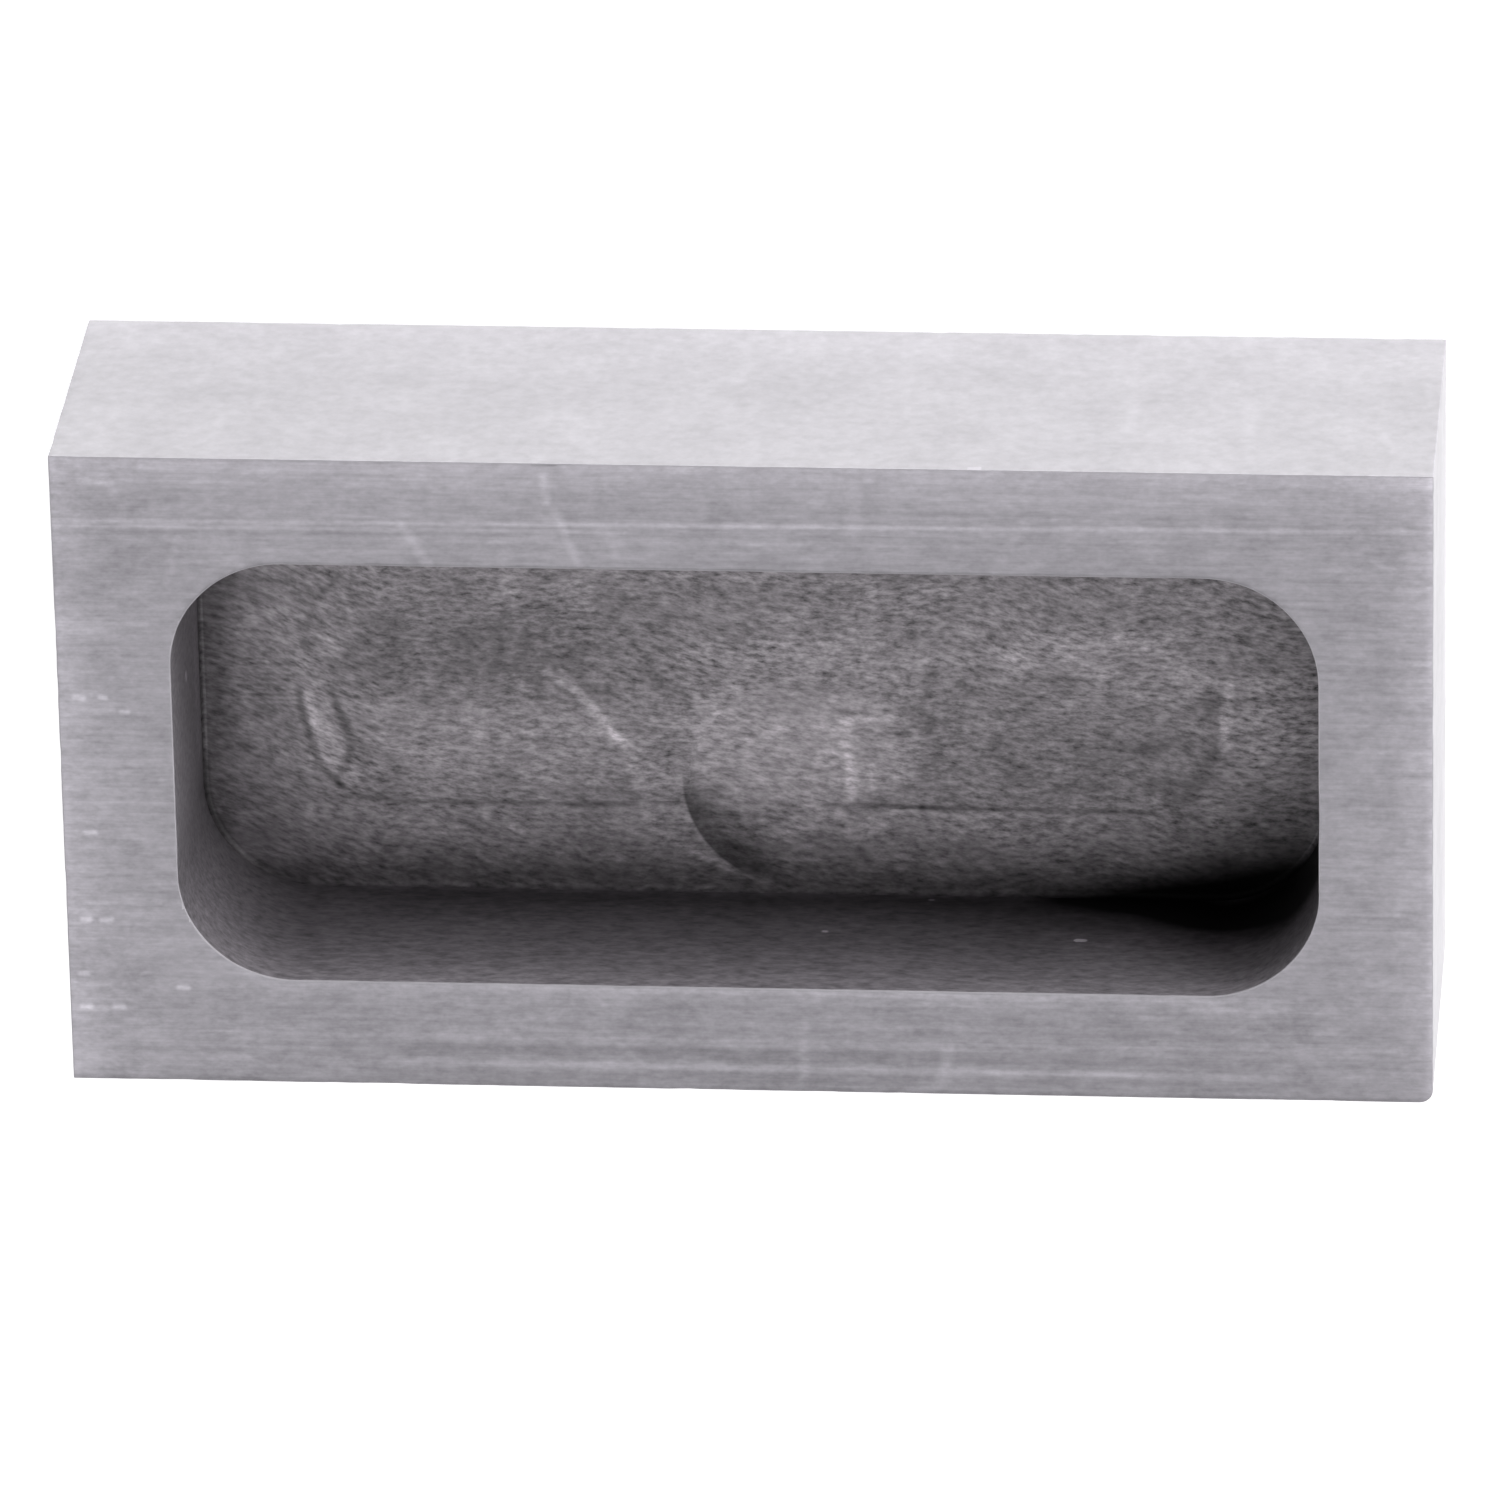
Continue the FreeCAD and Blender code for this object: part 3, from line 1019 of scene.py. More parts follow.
@dataclass
class MouldBlock:
    """The graphite block with its milled cavity, the mould's only piece.

    Attributes:
        low: The block's lowest corner.
        high: Its highest corner.
        end_wall: Graphite between the cavity and each short side.
        side_wall: Graphite between the cavity and each long side.
        floor_thickness: Graphite under the cavity.
        cutter_radius: Radius of the cavity's upright corners, and of the plunge mark.
        cutter_nose: Radius between the walls and the floor.
        arris: Width worn off the outer edges.
        rim_arris: Width worn off the mouth's edge.
        knocked_corner: Radius of the upright corner that is worn round, at +X and -Y.
        pass_end_margin: Width of the last cutter pass along each end wall.
        pass_side_margin: Width of the last cutter pass along each side wall.
        pass_corner: Corner radius of the middle of the floor.
        pass_step: How much deeper the last pass lies than the middle of the floor.
        pass_ramp: Half the width of the slope between the two.
        plunge_place: Where the cutter went in, along X.
        plunge_wall_gap: Between the plunge mark and the side wall at -Y.
        plunge_depth: Mean depth of the plunge mark under the middle of the floor.
        plunge_dish: How much higher its middle is than its rim.
        plunge_ramp: Width of the slope round it, at its deepest.
        plunge_land: Width of the band between its middle and its rim.
        overrun: How far a tool reaches past what it cuts.
        round_flats: How many flats stand for a full turn of the cutter.
        knocked_flats: How many flats stand for the worn corner.
        nose_flats: How many flats stand for the round between a wall and the floor.
        arris_flats: How many flats stand for an eased edge.
        support: Width of the band beside each edge that is cut finely.
        pitch: Distance between the cuts across that band.
        nick_size: Length of the small nicks along the edges.
        nick_depth: Their depth.
        nick_level: The level of their pattern that leaves the edge where it is.
        chip_size: Length of the few larger chips along the edges.
        chip_depth: Their depth.
        chip_contrast: How sharply their pattern tells chips from sound edge.
        chip_level: How much of their pattern is chips.
        smooth_angle: The steepest edge that is shaded smooth.
        flat_angle: How far a face of the rim or a wall may tip, and twice as far as a side's may.
        hair: What a distance may be out by when it tells one place from another.
    """

    low: Vector
    high: Vector
    end_wall: float = 0.010
    side_wall: float = 0.010
    floor_thickness: float = 0.010
    cutter_radius: float = 0.010
    cutter_nose: float = 0.0005
    arris: float = 0.0001
    rim_arris: float = 0.00012
    knocked_corner: float = 0.0012
    pass_end_margin: float = 0.0092
    pass_side_margin: float = 0.0082
    pass_corner: float = 0.007
    pass_step: float = 0.0001
    pass_ramp: float = 0.0005
    plunge_place: float = 0.003
    plunge_wall_gap: float = 0.0006
    plunge_depth: float = 0.00015
    plunge_dish: float = 0.0001
    plunge_ramp: float = 0.0006
    plunge_land: float = 0.004
    overrun: float = 0.001
    round_flats: int = 96
    knocked_flats: int = 6
    nose_flats: int = 3
    arris_flats: int = 2
    support: float = 0.0008
    pitch: float = 0.0006
    nick_size: float = 0.0012
    nick_depth: float = 0.00003
    nick_level: float = 0.6
    chip_size: float = 0.0035
    chip_depth: float = 0.00006
    chip_contrast: float = 4.0
    chip_level: float = 0.3
    smooth_angle: float = math.radians(30)
    flat_angle: float = math.radians(13)
    hair: float = 0.000012

    @property
    def middle(self) -> Vector:
        """The middle of the block."""
        return (self.low + self.high) / 2

    @property
    def half(self) -> Vector:
        """Half the block's sizes."""
        return (self.high - self.low) / 2

    @property
    def mouth_half(self) -> Vector:
        """Half the cavity's length and width."""
        return Vector((self.half.x - self.end_wall, self.half.y - self.side_wall, 0))

    @property
    def floor(self) -> float:
        """The height of the floor's last pass."""
        return self.low.z + self.floor_thickness

    def build(self) -> bpy.types.Object:
        """Models the block as it was made: sawn, milled, then handled.

        Returns:
            The finished mesh object.
        """
        block = self.sawn_block()
        block.carve(self.cutter_sweep(), Cut.TAKE_AWAY)
        block.bevel(self.is_mouth_edge, self.rim_arris, self.arris_flats)
        self.add_support(block)
        self.wear_arrises(block)
        block.close(self.smooth_angle)
        return block.body

    def sawn_block(self) -> Workpiece:
        """Saws the plain block, wears one corner round and eases its outer edges.

        Returns:
            The block without its cavity.
        """
        block = Workpiece.cube(NODE + "_graphite", self.low, self.high)
        block.bevel(self.is_knocked_edge, self.knocked_corner, self.knocked_flats)
        block.bevel(self.is_sharp_edge, self.arris, self.arris_flats)
        return block

    def cutter_sweep(self) -> Workpiece:
        """Shapes the space that the cutter clears.

        Returns:
            That space, with the middle of the floor and the plunge mark in its lower side.
        """
        reach = self.mouth_half
        low = Vector((-reach.x, -reach.y, self.floor))
        high = Vector((reach.x, reach.y, self.high.z + self.overrun))
        sweep = Workpiece.cube("cutter_sweep", low, high)
        sweep.bevel(self.is_upright_edge, self.cutter_radius, self.round_flats // 4)
        sweep.bevel(self.is_floor_edge, self.cutter_nose, self.nose_flats)
        sweep.carve(self.floor_middle(), Cut.TAKE_AWAY)
        sweep.carve(self.plunge(), Cut.JOIN)
        return sweep

    def floor_middle(self) -> Workpiece:
        """Shapes the middle of the floor, which the last pass round the walls left standing.

        Returns:
            A low slab with sloping sides and round corners.
        """
        ramp = Vector((self.pass_ramp, self.pass_ramp, 0))
        margin = Vector((self.pass_end_margin, self.pass_side_margin, 0))
        foot = self.mouth_half - margin + ramp
        top = foot - ramp * 2
        step = UP * self.pass_step
        level = UP * self.floor
        middle = Workpiece.cube("floor_middle", level - foot - step, level + foot + step)
        middle.bevel(self.is_upright_edge, self.pass_corner, self.round_flats // 8)
        with middle.picked(Part.FACE, facing(UP)):
            bpy.ops.transform.resize(value=(top.x / foot.x, top.y / foot.y, 1))
        return middle

    def plunge(self) -> Workpiece:
        """Shapes the round mark where the cutter went in, a little out of true.

        Returns:
            The space that the mark takes from the floor.
        """
        across = -self.mouth_half.y + self.plunge_wall_gap + self.cutter_radius
        foot = Vector((self.plunge_place, across, self.floor + self.pass_step - self.plunge_depth))
        deepest = self.plunge_depth * 2
        height = deepest + self.plunge_depth
        lower = self.cutter_radius - self.plunge_ramp
        upper = lower + self.plunge_ramp * height / deepest
        lean = self.plunge_depth / self.cutter_radius
        mark = Workpiece.drum("plunge_mark", foot, (lower, upper), height, lean, self.round_flats)
        with mark.picked(Part.FACE, facing(-UP)):
            bpy.ops.mesh.inset(thickness=self.plunge_land)
            bpy.ops.transform.translate(value=UP * self.plunge_dish)
        return mark

    def is_upright_edge(self, first: Vector, last: Vector) -> bool:
        """Whether an edge stands upright."""
        return (first - last).xy.length < self.hair < abs(first.z - last.z)

    def is_knocked_edge(self, first: Vector, last: Vector) -> bool:
        """Whether an edge is an upright one at +X and -Y."""
        return self.is_upright_edge(first, last) and first.x > 0 > first.y

    def is_sharp_edge(self, first: Vector, last: Vector) -> bool:
        """Whether an edge of the sawn block is still sharp, and not of the worn corner."""
        return not self.is_knocked_edge(first, last)

    def is_floor_edge(self, first: Vector, last: Vector) -> bool:
        """Whether an edge of the cutter's sweep lies on the floor."""
        return max(first.z, last.z) < self.floor + self.hair

    def is_mouth_edge(self, first: Vector, last: Vector) -> bool:
        """Whether an edge is the cavity's mouth."""
        on_rim = min(first.z, last.z) > self.high.z - self.hair
        return on_rim and self.over_cavity(first) and self.over_cavity(last)

    def over_cavity(self, place: Vector) -> bool:
        """Whether a place lies within the cavity's length and width."""
        reach = self.mouth_half
        return abs(place.x) < reach.x + self.hair and abs(place.y) < reach.y + self.hair

    def edge_gap(self, place: Vector) -> float:
        """The distance from a place on the block's outside to the nearest outer edge."""
        depths = sorted(half - abs(offset) for half, offset in zip(self.half, place - self.middle))
        return depths[1]

    def mouth_gap(self, place: Vector) -> float:
        """Measures from a place to the cavity's outline, seen from above.

        Args:
            place: The place.

        Returns:
            The distance, below zero inside the cavity.
        """
        reach = self.mouth_half
        x = abs(place.x) - reach.x + self.cutter_radius
        y = abs(place.y) - reach.y + self.cutter_radius
        apart = math.hypot(max(x, 0.0), max(y, 0.0)) + min(max(x, y), 0.0)
        return apart - self.cutter_radius

    def surface_at(self, middle: Vector, normal: Vector) -> Surface:
        """Which kind of surface a face belongs to.

        Args:
            middle: The face's middle.
            normal: Its normal.

        Returns:
            The kind of surface.
        """
        reach = self.rim_arris + self.hair
        if self.mouth_gap(middle) < reach and middle.z < self.high.z - reach:
            return Surface.WALL if abs(normal.z) < math.sin(self.flat_angle) else Surface.FLOOR
        if normal.z > math.cos(self.flat_angle):
            return Surface.RIM
        straight = max(abs(part) for part in normal) > math.cos(self.flat_angle / 2)
        return Surface.SIDE if straight else Surface.ARRIS

    def belongs_to(self, surface: Surface) -> Wanted:
        """Returns the test of whether a face belongs to the given kind of surface."""
        return lambda middle, normal: self.surface_at(middle, normal) is surface

    def add_support(self, block: Workpiece) -> None:
        """Draws lines beside the block's edges and cuts the bands between them finely.

        Args:
            block: The block.
        """
        for surface in (Surface.RIM, Surface.SIDE, Surface.WALL):
            block.inset(self.belongs_to(surface), self.support, each=surface is Surface.SIDE)
        block.slice(self.is_beside_edge, self.low, self.high, self.pitch)

    def is_beside_edge(self, middle: Vector, normal: Vector) -> bool:
        """Tells whether a face lies in the band beside an outer edge or the mouth.

        Args:
            middle: The face's middle.
            normal: Its normal, which doesn't count here.

        Returns:
            Whether it does.
        """
        reach = self.support + self.arris
        if self.edge_gap(middle) < reach and self.mouth_gap(middle) > 0:
            return True
        return abs(self.mouth_gap(middle)) < reach and middle.z > self.high.z - reach

    def wear_arrises(self, block: Workpiece) -> None:
        """Gives the edges small nicks and a few larger chips.

        Args:
            block: The block.
        """
        group = "arrises"
        block.body.vertex_groups.new(name=group)
        with block.picked(Part.FACE, self.belongs_to(Surface.ARRIS)):
            bpy.ops.object.vertex_group_assign()
        nicks = bpy.data.textures.new("nicks", "CLOUDS")
        nicks.noise_scale = self.nick_size
        block.roughen(group, self.nick_depth, nicks, self.nick_level)
        chips = bpy.data.textures.new("chips", "CLOUDS")
        chips.noise_scale = self.chip_size
        chips.contrast = self.chip_contrast
        chips.intensity = self.chip_level
        chips.use_clamp = True
        block.roughen(group, -self.chip_depth, chips, 0.0)

    def dress(self, piece: bpy.types.Object, finishes: dict[Surface, Finish]) -> None:
        """Gives each of the block's faces its finish.

        Args:
            piece: The finished mesh object.
            finishes: The finish of each kind of surface.
        """
        piece.data.materials.clear()
        for surface in Surface:
            piece.data.materials.append(finishes[surface].material())
        for face in piece.data.polygons:
            face.material_index = self.surface_at(face.center, face.normal).value


@dataclass(frozen=True)
class Softbox:
    """A rectangular studio lamp that faces the mould from a metre away.

    Attributes:
        name: Its name.
        bearing: The direction that it stands in, in degrees from +Y towards +X.
        rise: How high it stands over the rim's plane, in degrees.
        width: Its size to the sides.
        height: Its size up and down.
        power: Its light, in watts.
        distance: How far it stands from the middle of the rim's plane.
    """

    name: str
    bearing: float
    rise: float
    width: float
    height: float
    power: float
    distance: float = 1.0

    def build(self, aim: Vector) -> None:
        """Hangs the lamp.

        Args:
            aim: The point that it faces.
        """
        lamp = bpy.data.lights.new(self.name, "AREA")
        lamp.shape = "RECTANGLE"
        lamp.size = self.width
        lamp.size_y = self.height
        lamp.energy = self.power
        hung = bpy.data.objects.new(self.name, lamp)
        bpy.context.scene.collection.objects.link(hung)
        bearing, rise = math.radians(self.bearing), math.radians(self.rise)
        level = Vector((math.sin(bearing), math.cos(bearing), 0)) * math.cos(rise)
        away = level + Vector((0, 0, math.sin(rise)))
        hung.location = aim + away * self.distance
        hung.rotation_euler = away.to_track_quat("Z", "Y").to_euler()
        hung.visible_camera = False


@dataclass(frozen=True)
class Studio:
    """The white floor, the white surroundings and the lamps.

    Attributes:
        floor_size: Length and width of the floor.
        floor_colour: The floor's colour as the object sees it.
        floor_glow: The floor's own light as the camera sees it, over what falls on it.
        floor_sheen: The same as the object's sheen shows it.
        sky_level: The surroundings' light on the object.
        lamps: The lamps.
    """

    floor_size: float = 6.0
    floor_colour: float = 0.8
    floor_glow: float = 0.75
    floor_sheen: float = 0.95
    sky_level: float = 0.05
    lamps: tuple[Softbox, ...] = ()

    def build(self, aim: Vector) -> None:
        """Lays the floor, sets the surroundings and hangs the lamps.

        Args:
            aim: The point that the lamps face.
        """
        self.lay_floor()
        self.set_surroundings()
        for lamp in self.lamps:
            lamp.build(aim)

    def lay_floor(self) -> None:
        """A white floor that shows white to the camera and still takes the block's shadow."""
        bpy.ops.object.select_all(action="DESELECT")
        bpy.ops.mesh.primitive_plane_add(size=self.floor_size)
        floor = bpy.context.object
        floor.name = "floor"
        material = bpy.data.materials.new("white_floor")
        material.use_nodes = True
        nodes = Nodes(material.node_tree)
        nodes.tree.nodes.clear()
        matt = nodes.put("BsdfDiffuse", {"Color": (self.floor_colour,) * 3})
        rays = nodes.put("LightPath").outputs
        seen = nodes.product(rays["Is Camera Ray"], self.floor_glow)
        strength = nodes.number("MULTIPLY_ADD", rays["Is Glossy Ray"], self.floor_sheen, seen)
        glow = nodes.put("Emission", {"Color": WHITE, "Strength": strength})
        both = nodes.put("AddShader", {0: matt.outputs[0], 1: glow.outputs[0]})
        nodes.put("OutputMaterial", {"Surface": both.outputs[0]})
        material.cycles.emission_sampling = "NONE"
        floor.data.materials.append(material)

    def set_surroundings(self) -> None:
        """White surroundings, at full strength for the camera."""
        world = bpy.data.worlds.new("surroundings")
        bpy.context.scene.world = world
        world.use_nodes = True
        nodes = Nodes(world.node_tree)
        nodes.tree.nodes.clear()
        rays = nodes.put("LightPath").outputs
        strength = nodes.number("MAXIMUM", rays["Is Camera Ray"], self.sky_level)
        sky = nodes.put("Background", {"Color": WHITE, "Strength": strength})
        nodes.put("OutputWorld", {"Surface": sky.outputs[0]})


@dataclass(frozen=True)
class PhotoCamera:
    """The camera at the photograph's viewing angle.

    Attributes:
        place: Where it stands.
        aim: The point in the middle of its picture, on the rim's plane.
        picture_up: The direction that is up in its picture.
        lens: Its focal length, in millimetres.
        frame_width: The width of its frame, in millimetres.
    """

    place: tuple[float, float, float] = (0.10233, 0.54227, 1.19165)
    aim: tuple[float, float, float] = (0.00053, 0.00304, 0.03)
    picture_up: tuple[float, float, float] = (-0.0165, 0.9075, -0.4198)
    lens: float = 354.26
    frame_width: float = 36.0

    def build(self) -> None:
        """Sets the camera up and makes it the scene's."""
        data = bpy.data.cameras.new("camera")
        data.lens = self.lens
        data.sensor_width = self.frame_width
        camera = bpy.data.objects.new("camera", data)
        bpy.context.scene.collection.objects.link(camera)
        place = Vector(self.place)
        forward = (Vector(self.aim) - place).normalized()
        right = forward.cross(Vector(self.picture_up)).normalized()
        turn = Matrix((right, right.cross(forward), -forward)).transposed()
        camera.matrix_world = Matrix.Translation(place) @ turn.to_4x4()
        bpy.context.scene.camera = camera


# Places are in millimetres: along X and Y on the rim and the floor, along X and Z on the long sides
# and walls, and along Y and Z on the short ones.
RIM_PAINTED_LIGHT_AND_MARKS = (
    # Painted glow of the white surroundings along the edges at +Y, -X and +X, and paler patches at
    # both ends.
    PathMark(((-60, 30), (60, 30)), 4.5, 0.26),
    PathMark(((-60, 30), (60, 30)), 1.0, 0.1),
    PathMark(((-60, -30), (-60, 30)), 4.5, 0.18),
    PathMark(((-60, -30), (-60, 30)), 1.0, 0.14),
    PathMark(((60, -30), (60, 30)), 4.5, 0.18),
    PathMark(((60, -30), (60, 30)), 1.0, 0.2),
    PatchMark((-62, -34), (-54, 12), (4, 8), 0.16),
    PatchMark((54, -12), (62, 34), (4, 10), 0.12),
    PatchMark((-46, -30), (48, -21), (8, 1.5), -0.17),
    # Specks at the left end.
    DustMark((-60, -28), (-51, 4), (1, 6), 0.35, (3.2, 1.6), 0.3),
    PathMark(((-58.5, 7.1), (-57.8, 7.0)), 0.45, 0.45),
    PathMark(((-56.3, 7.1), (-55.8, 7.0)), 0.4, 0.4),
    PathMark(((-54.5, 5.7), (-53.9, 5.7)), 0.4, 0.4),
    PathMark(((-58.0, -6.0), (-57.2, -6.0)), 0.45, 0.4),
    PathMark(((-58.6, -14.4), (-58.0, -14.4)), 0.5, 0.5),
    PathMark(((-56.9, -14.5), (-56.1, -14.4)), 0.5, 0.5),
    PathMark(((-59.0, -19.7), (-58.4, -19.7)), 0.45, 0.45),
    PathMark(((-58.9, -22.9), (-58.2, -22.9)), 0.5, 0.5),
    PathMark(((-56.0, -22.9), (-55.4, -22.9)), 0.55, 0.55),
    PathMark(((-50.3, -20.9), (-49.5, -20.9)), 0.45, 0.45),
    # Single saw lines that stand out.
    PathMark(((-60, 23.9), (60, 24.8)), 0.4, 0.28),
    PathMark(((-60, 23.4), (-10, 23.6)), 0.35, 0.16),
    PathMark(((-60, 22.9), (-20, 23.1)), 0.4, -0.1),
    PathMark(((-50, 22.6), (56, 22.7)), 0.45, 0.06),
    PatchMark((-8, 20.3), (48, 21.1), (10, 0.4), -0.08),
    PatchMark((-60, 20.7), (-46, 21.2), (6, 0.3), -0.1),
    PatchMark((-26, -20.7), (42, -20.2), (10, 0.25), 0.3),
    PatchMark((-60, -21.6), (60, -20.4), (8, 0.5), 0.1),
    PatchMark((-30, -22.85), (20, -22.6), (8, 0.2), 0.1),
    PatchMark((-48, -24.3), (50, -23.7), (12, 0.3), -0.08),
    PatchMark((-50, -25.3), (58, -25.0), (10, 0.2), 0.18),
    PatchMark((-32, -27.1), (30, -25.9), (9, 0.35), -0.28),
    PatchMark((30, -27.1), (58, -26.2), (9, 0.35), -0.18),
    PatchMark((-60, -27.9), (-28, -27.6), (8, 0.25), 0.08),
    PatchMark((-24, -28.0), (40, -27.5), (9, 0.22), 0.42),
    PatchMark((-34, -29.5), (12, -28.3), (7, 0.25), -0.24),
    PatchMark((12, -29.4), (58, -28.3), (8, 0.3), -0.16),
    PathMark(((-60, 14.2), (-51, 14.0)), 0.4, 0.1),
    # A chip's dark edge, and rubbed strokes across the saw lines.
    PathMark(((-17.8, 29.9), (-15.9, 29.9)), 0.35, -0.35),
    PathMark(((-17.0, 29.0), (-16.7, 26.4)), 0.7, 0.28),
    PathMark(((-16.0, 25.5), (-14.0, 20.3)), 0.7, 0.2),
    PathMark(((-29.3, 23.8), (-27.2, 20.3)), 0.8, 0.2),
    PathMark(((-49.0, 22.5), (-50.0, 18.0)), 0.6, 0.12),
    PathMark(((-57.3, 27.6), (-54.6, 27.5)), 0.5, 0.2),
    PathMark(((-11.6, 24.0), (-10.4, 20.5)), 0.7, 0.08),
    PathMark(((9.9, 28.0), (9.8, 23.5)), 1.2, 0.12),
    PathMark(((24.5, 25.0), (22.0, 20.5)), 0.9, 0.1),
    PathMark(((-15.3, -20.8), (-10.0, -23.5)), 0.6, 0.1),
    PathMark(((-12.9, -24.2), (-9.6, -27.5)), 0.5, 0.08),
    PathMark(((4.8, -24.0), (4.6, -29.0)), 0.9, 0.16),
    PathMark(((17.5, -25.5), (16.9, -28.5)), 0.9, 0.18),
    PathMark(((-22.0, -24.0), (-20.4, -26.0)), 0.8, 0.14),
)
RIM_CONTRAST_MARKS = (
    PatchMark((-62, -32), (-51, 32), (2, 2), 0.5),
    PatchMark((51, -32), (62, 32), (2, 2), 0.35),
    PatchMark((-50, 20), (50, 31), (2, 1), 0.1),
    PatchMark((-50, -31), (50, -20), (2, 1), 0.6),
)
SIDE_MARKS = (
    # Paler towards the base, with broad clouds.
    PathMark(((-60, 0), (60, 0)), 14.0, 0.12),
    PatchMark((-62, -2), (-52, 32), (5, 4), 0.04),
    PatchMark((13, 22), (25, 31), (5, 4), -0.06),
    # Rubbed strokes.
    PathMark(((25.6, 1.7), (25.8, 7.0)), 1.0, 0.05),
    PathMark(((33.6, 14.0), (33.2, 21.0)), 0.9, 0.05),
    PathMark(((43.6, 15.0), (43.8, 23.0)), 1.3, 0.05),
    PathMark(((54.2, 5.0), (58.6, 4.2)), 0.5, 0.06),
    PathMark(((58.9, 10.5), (59.3, 14.5)), 0.7, 0.07),
    PathMark(((55.3, 21.0), (56.2, 24.5)), 0.7, 0.06),
    PathMark(((-48.0, 12.0), (-38.5, 15.5)), 0.9, 0.04),
    PathMark(((-28.0, 22.0), (-15.0, 20.5)), 1.6, 0.03),
)
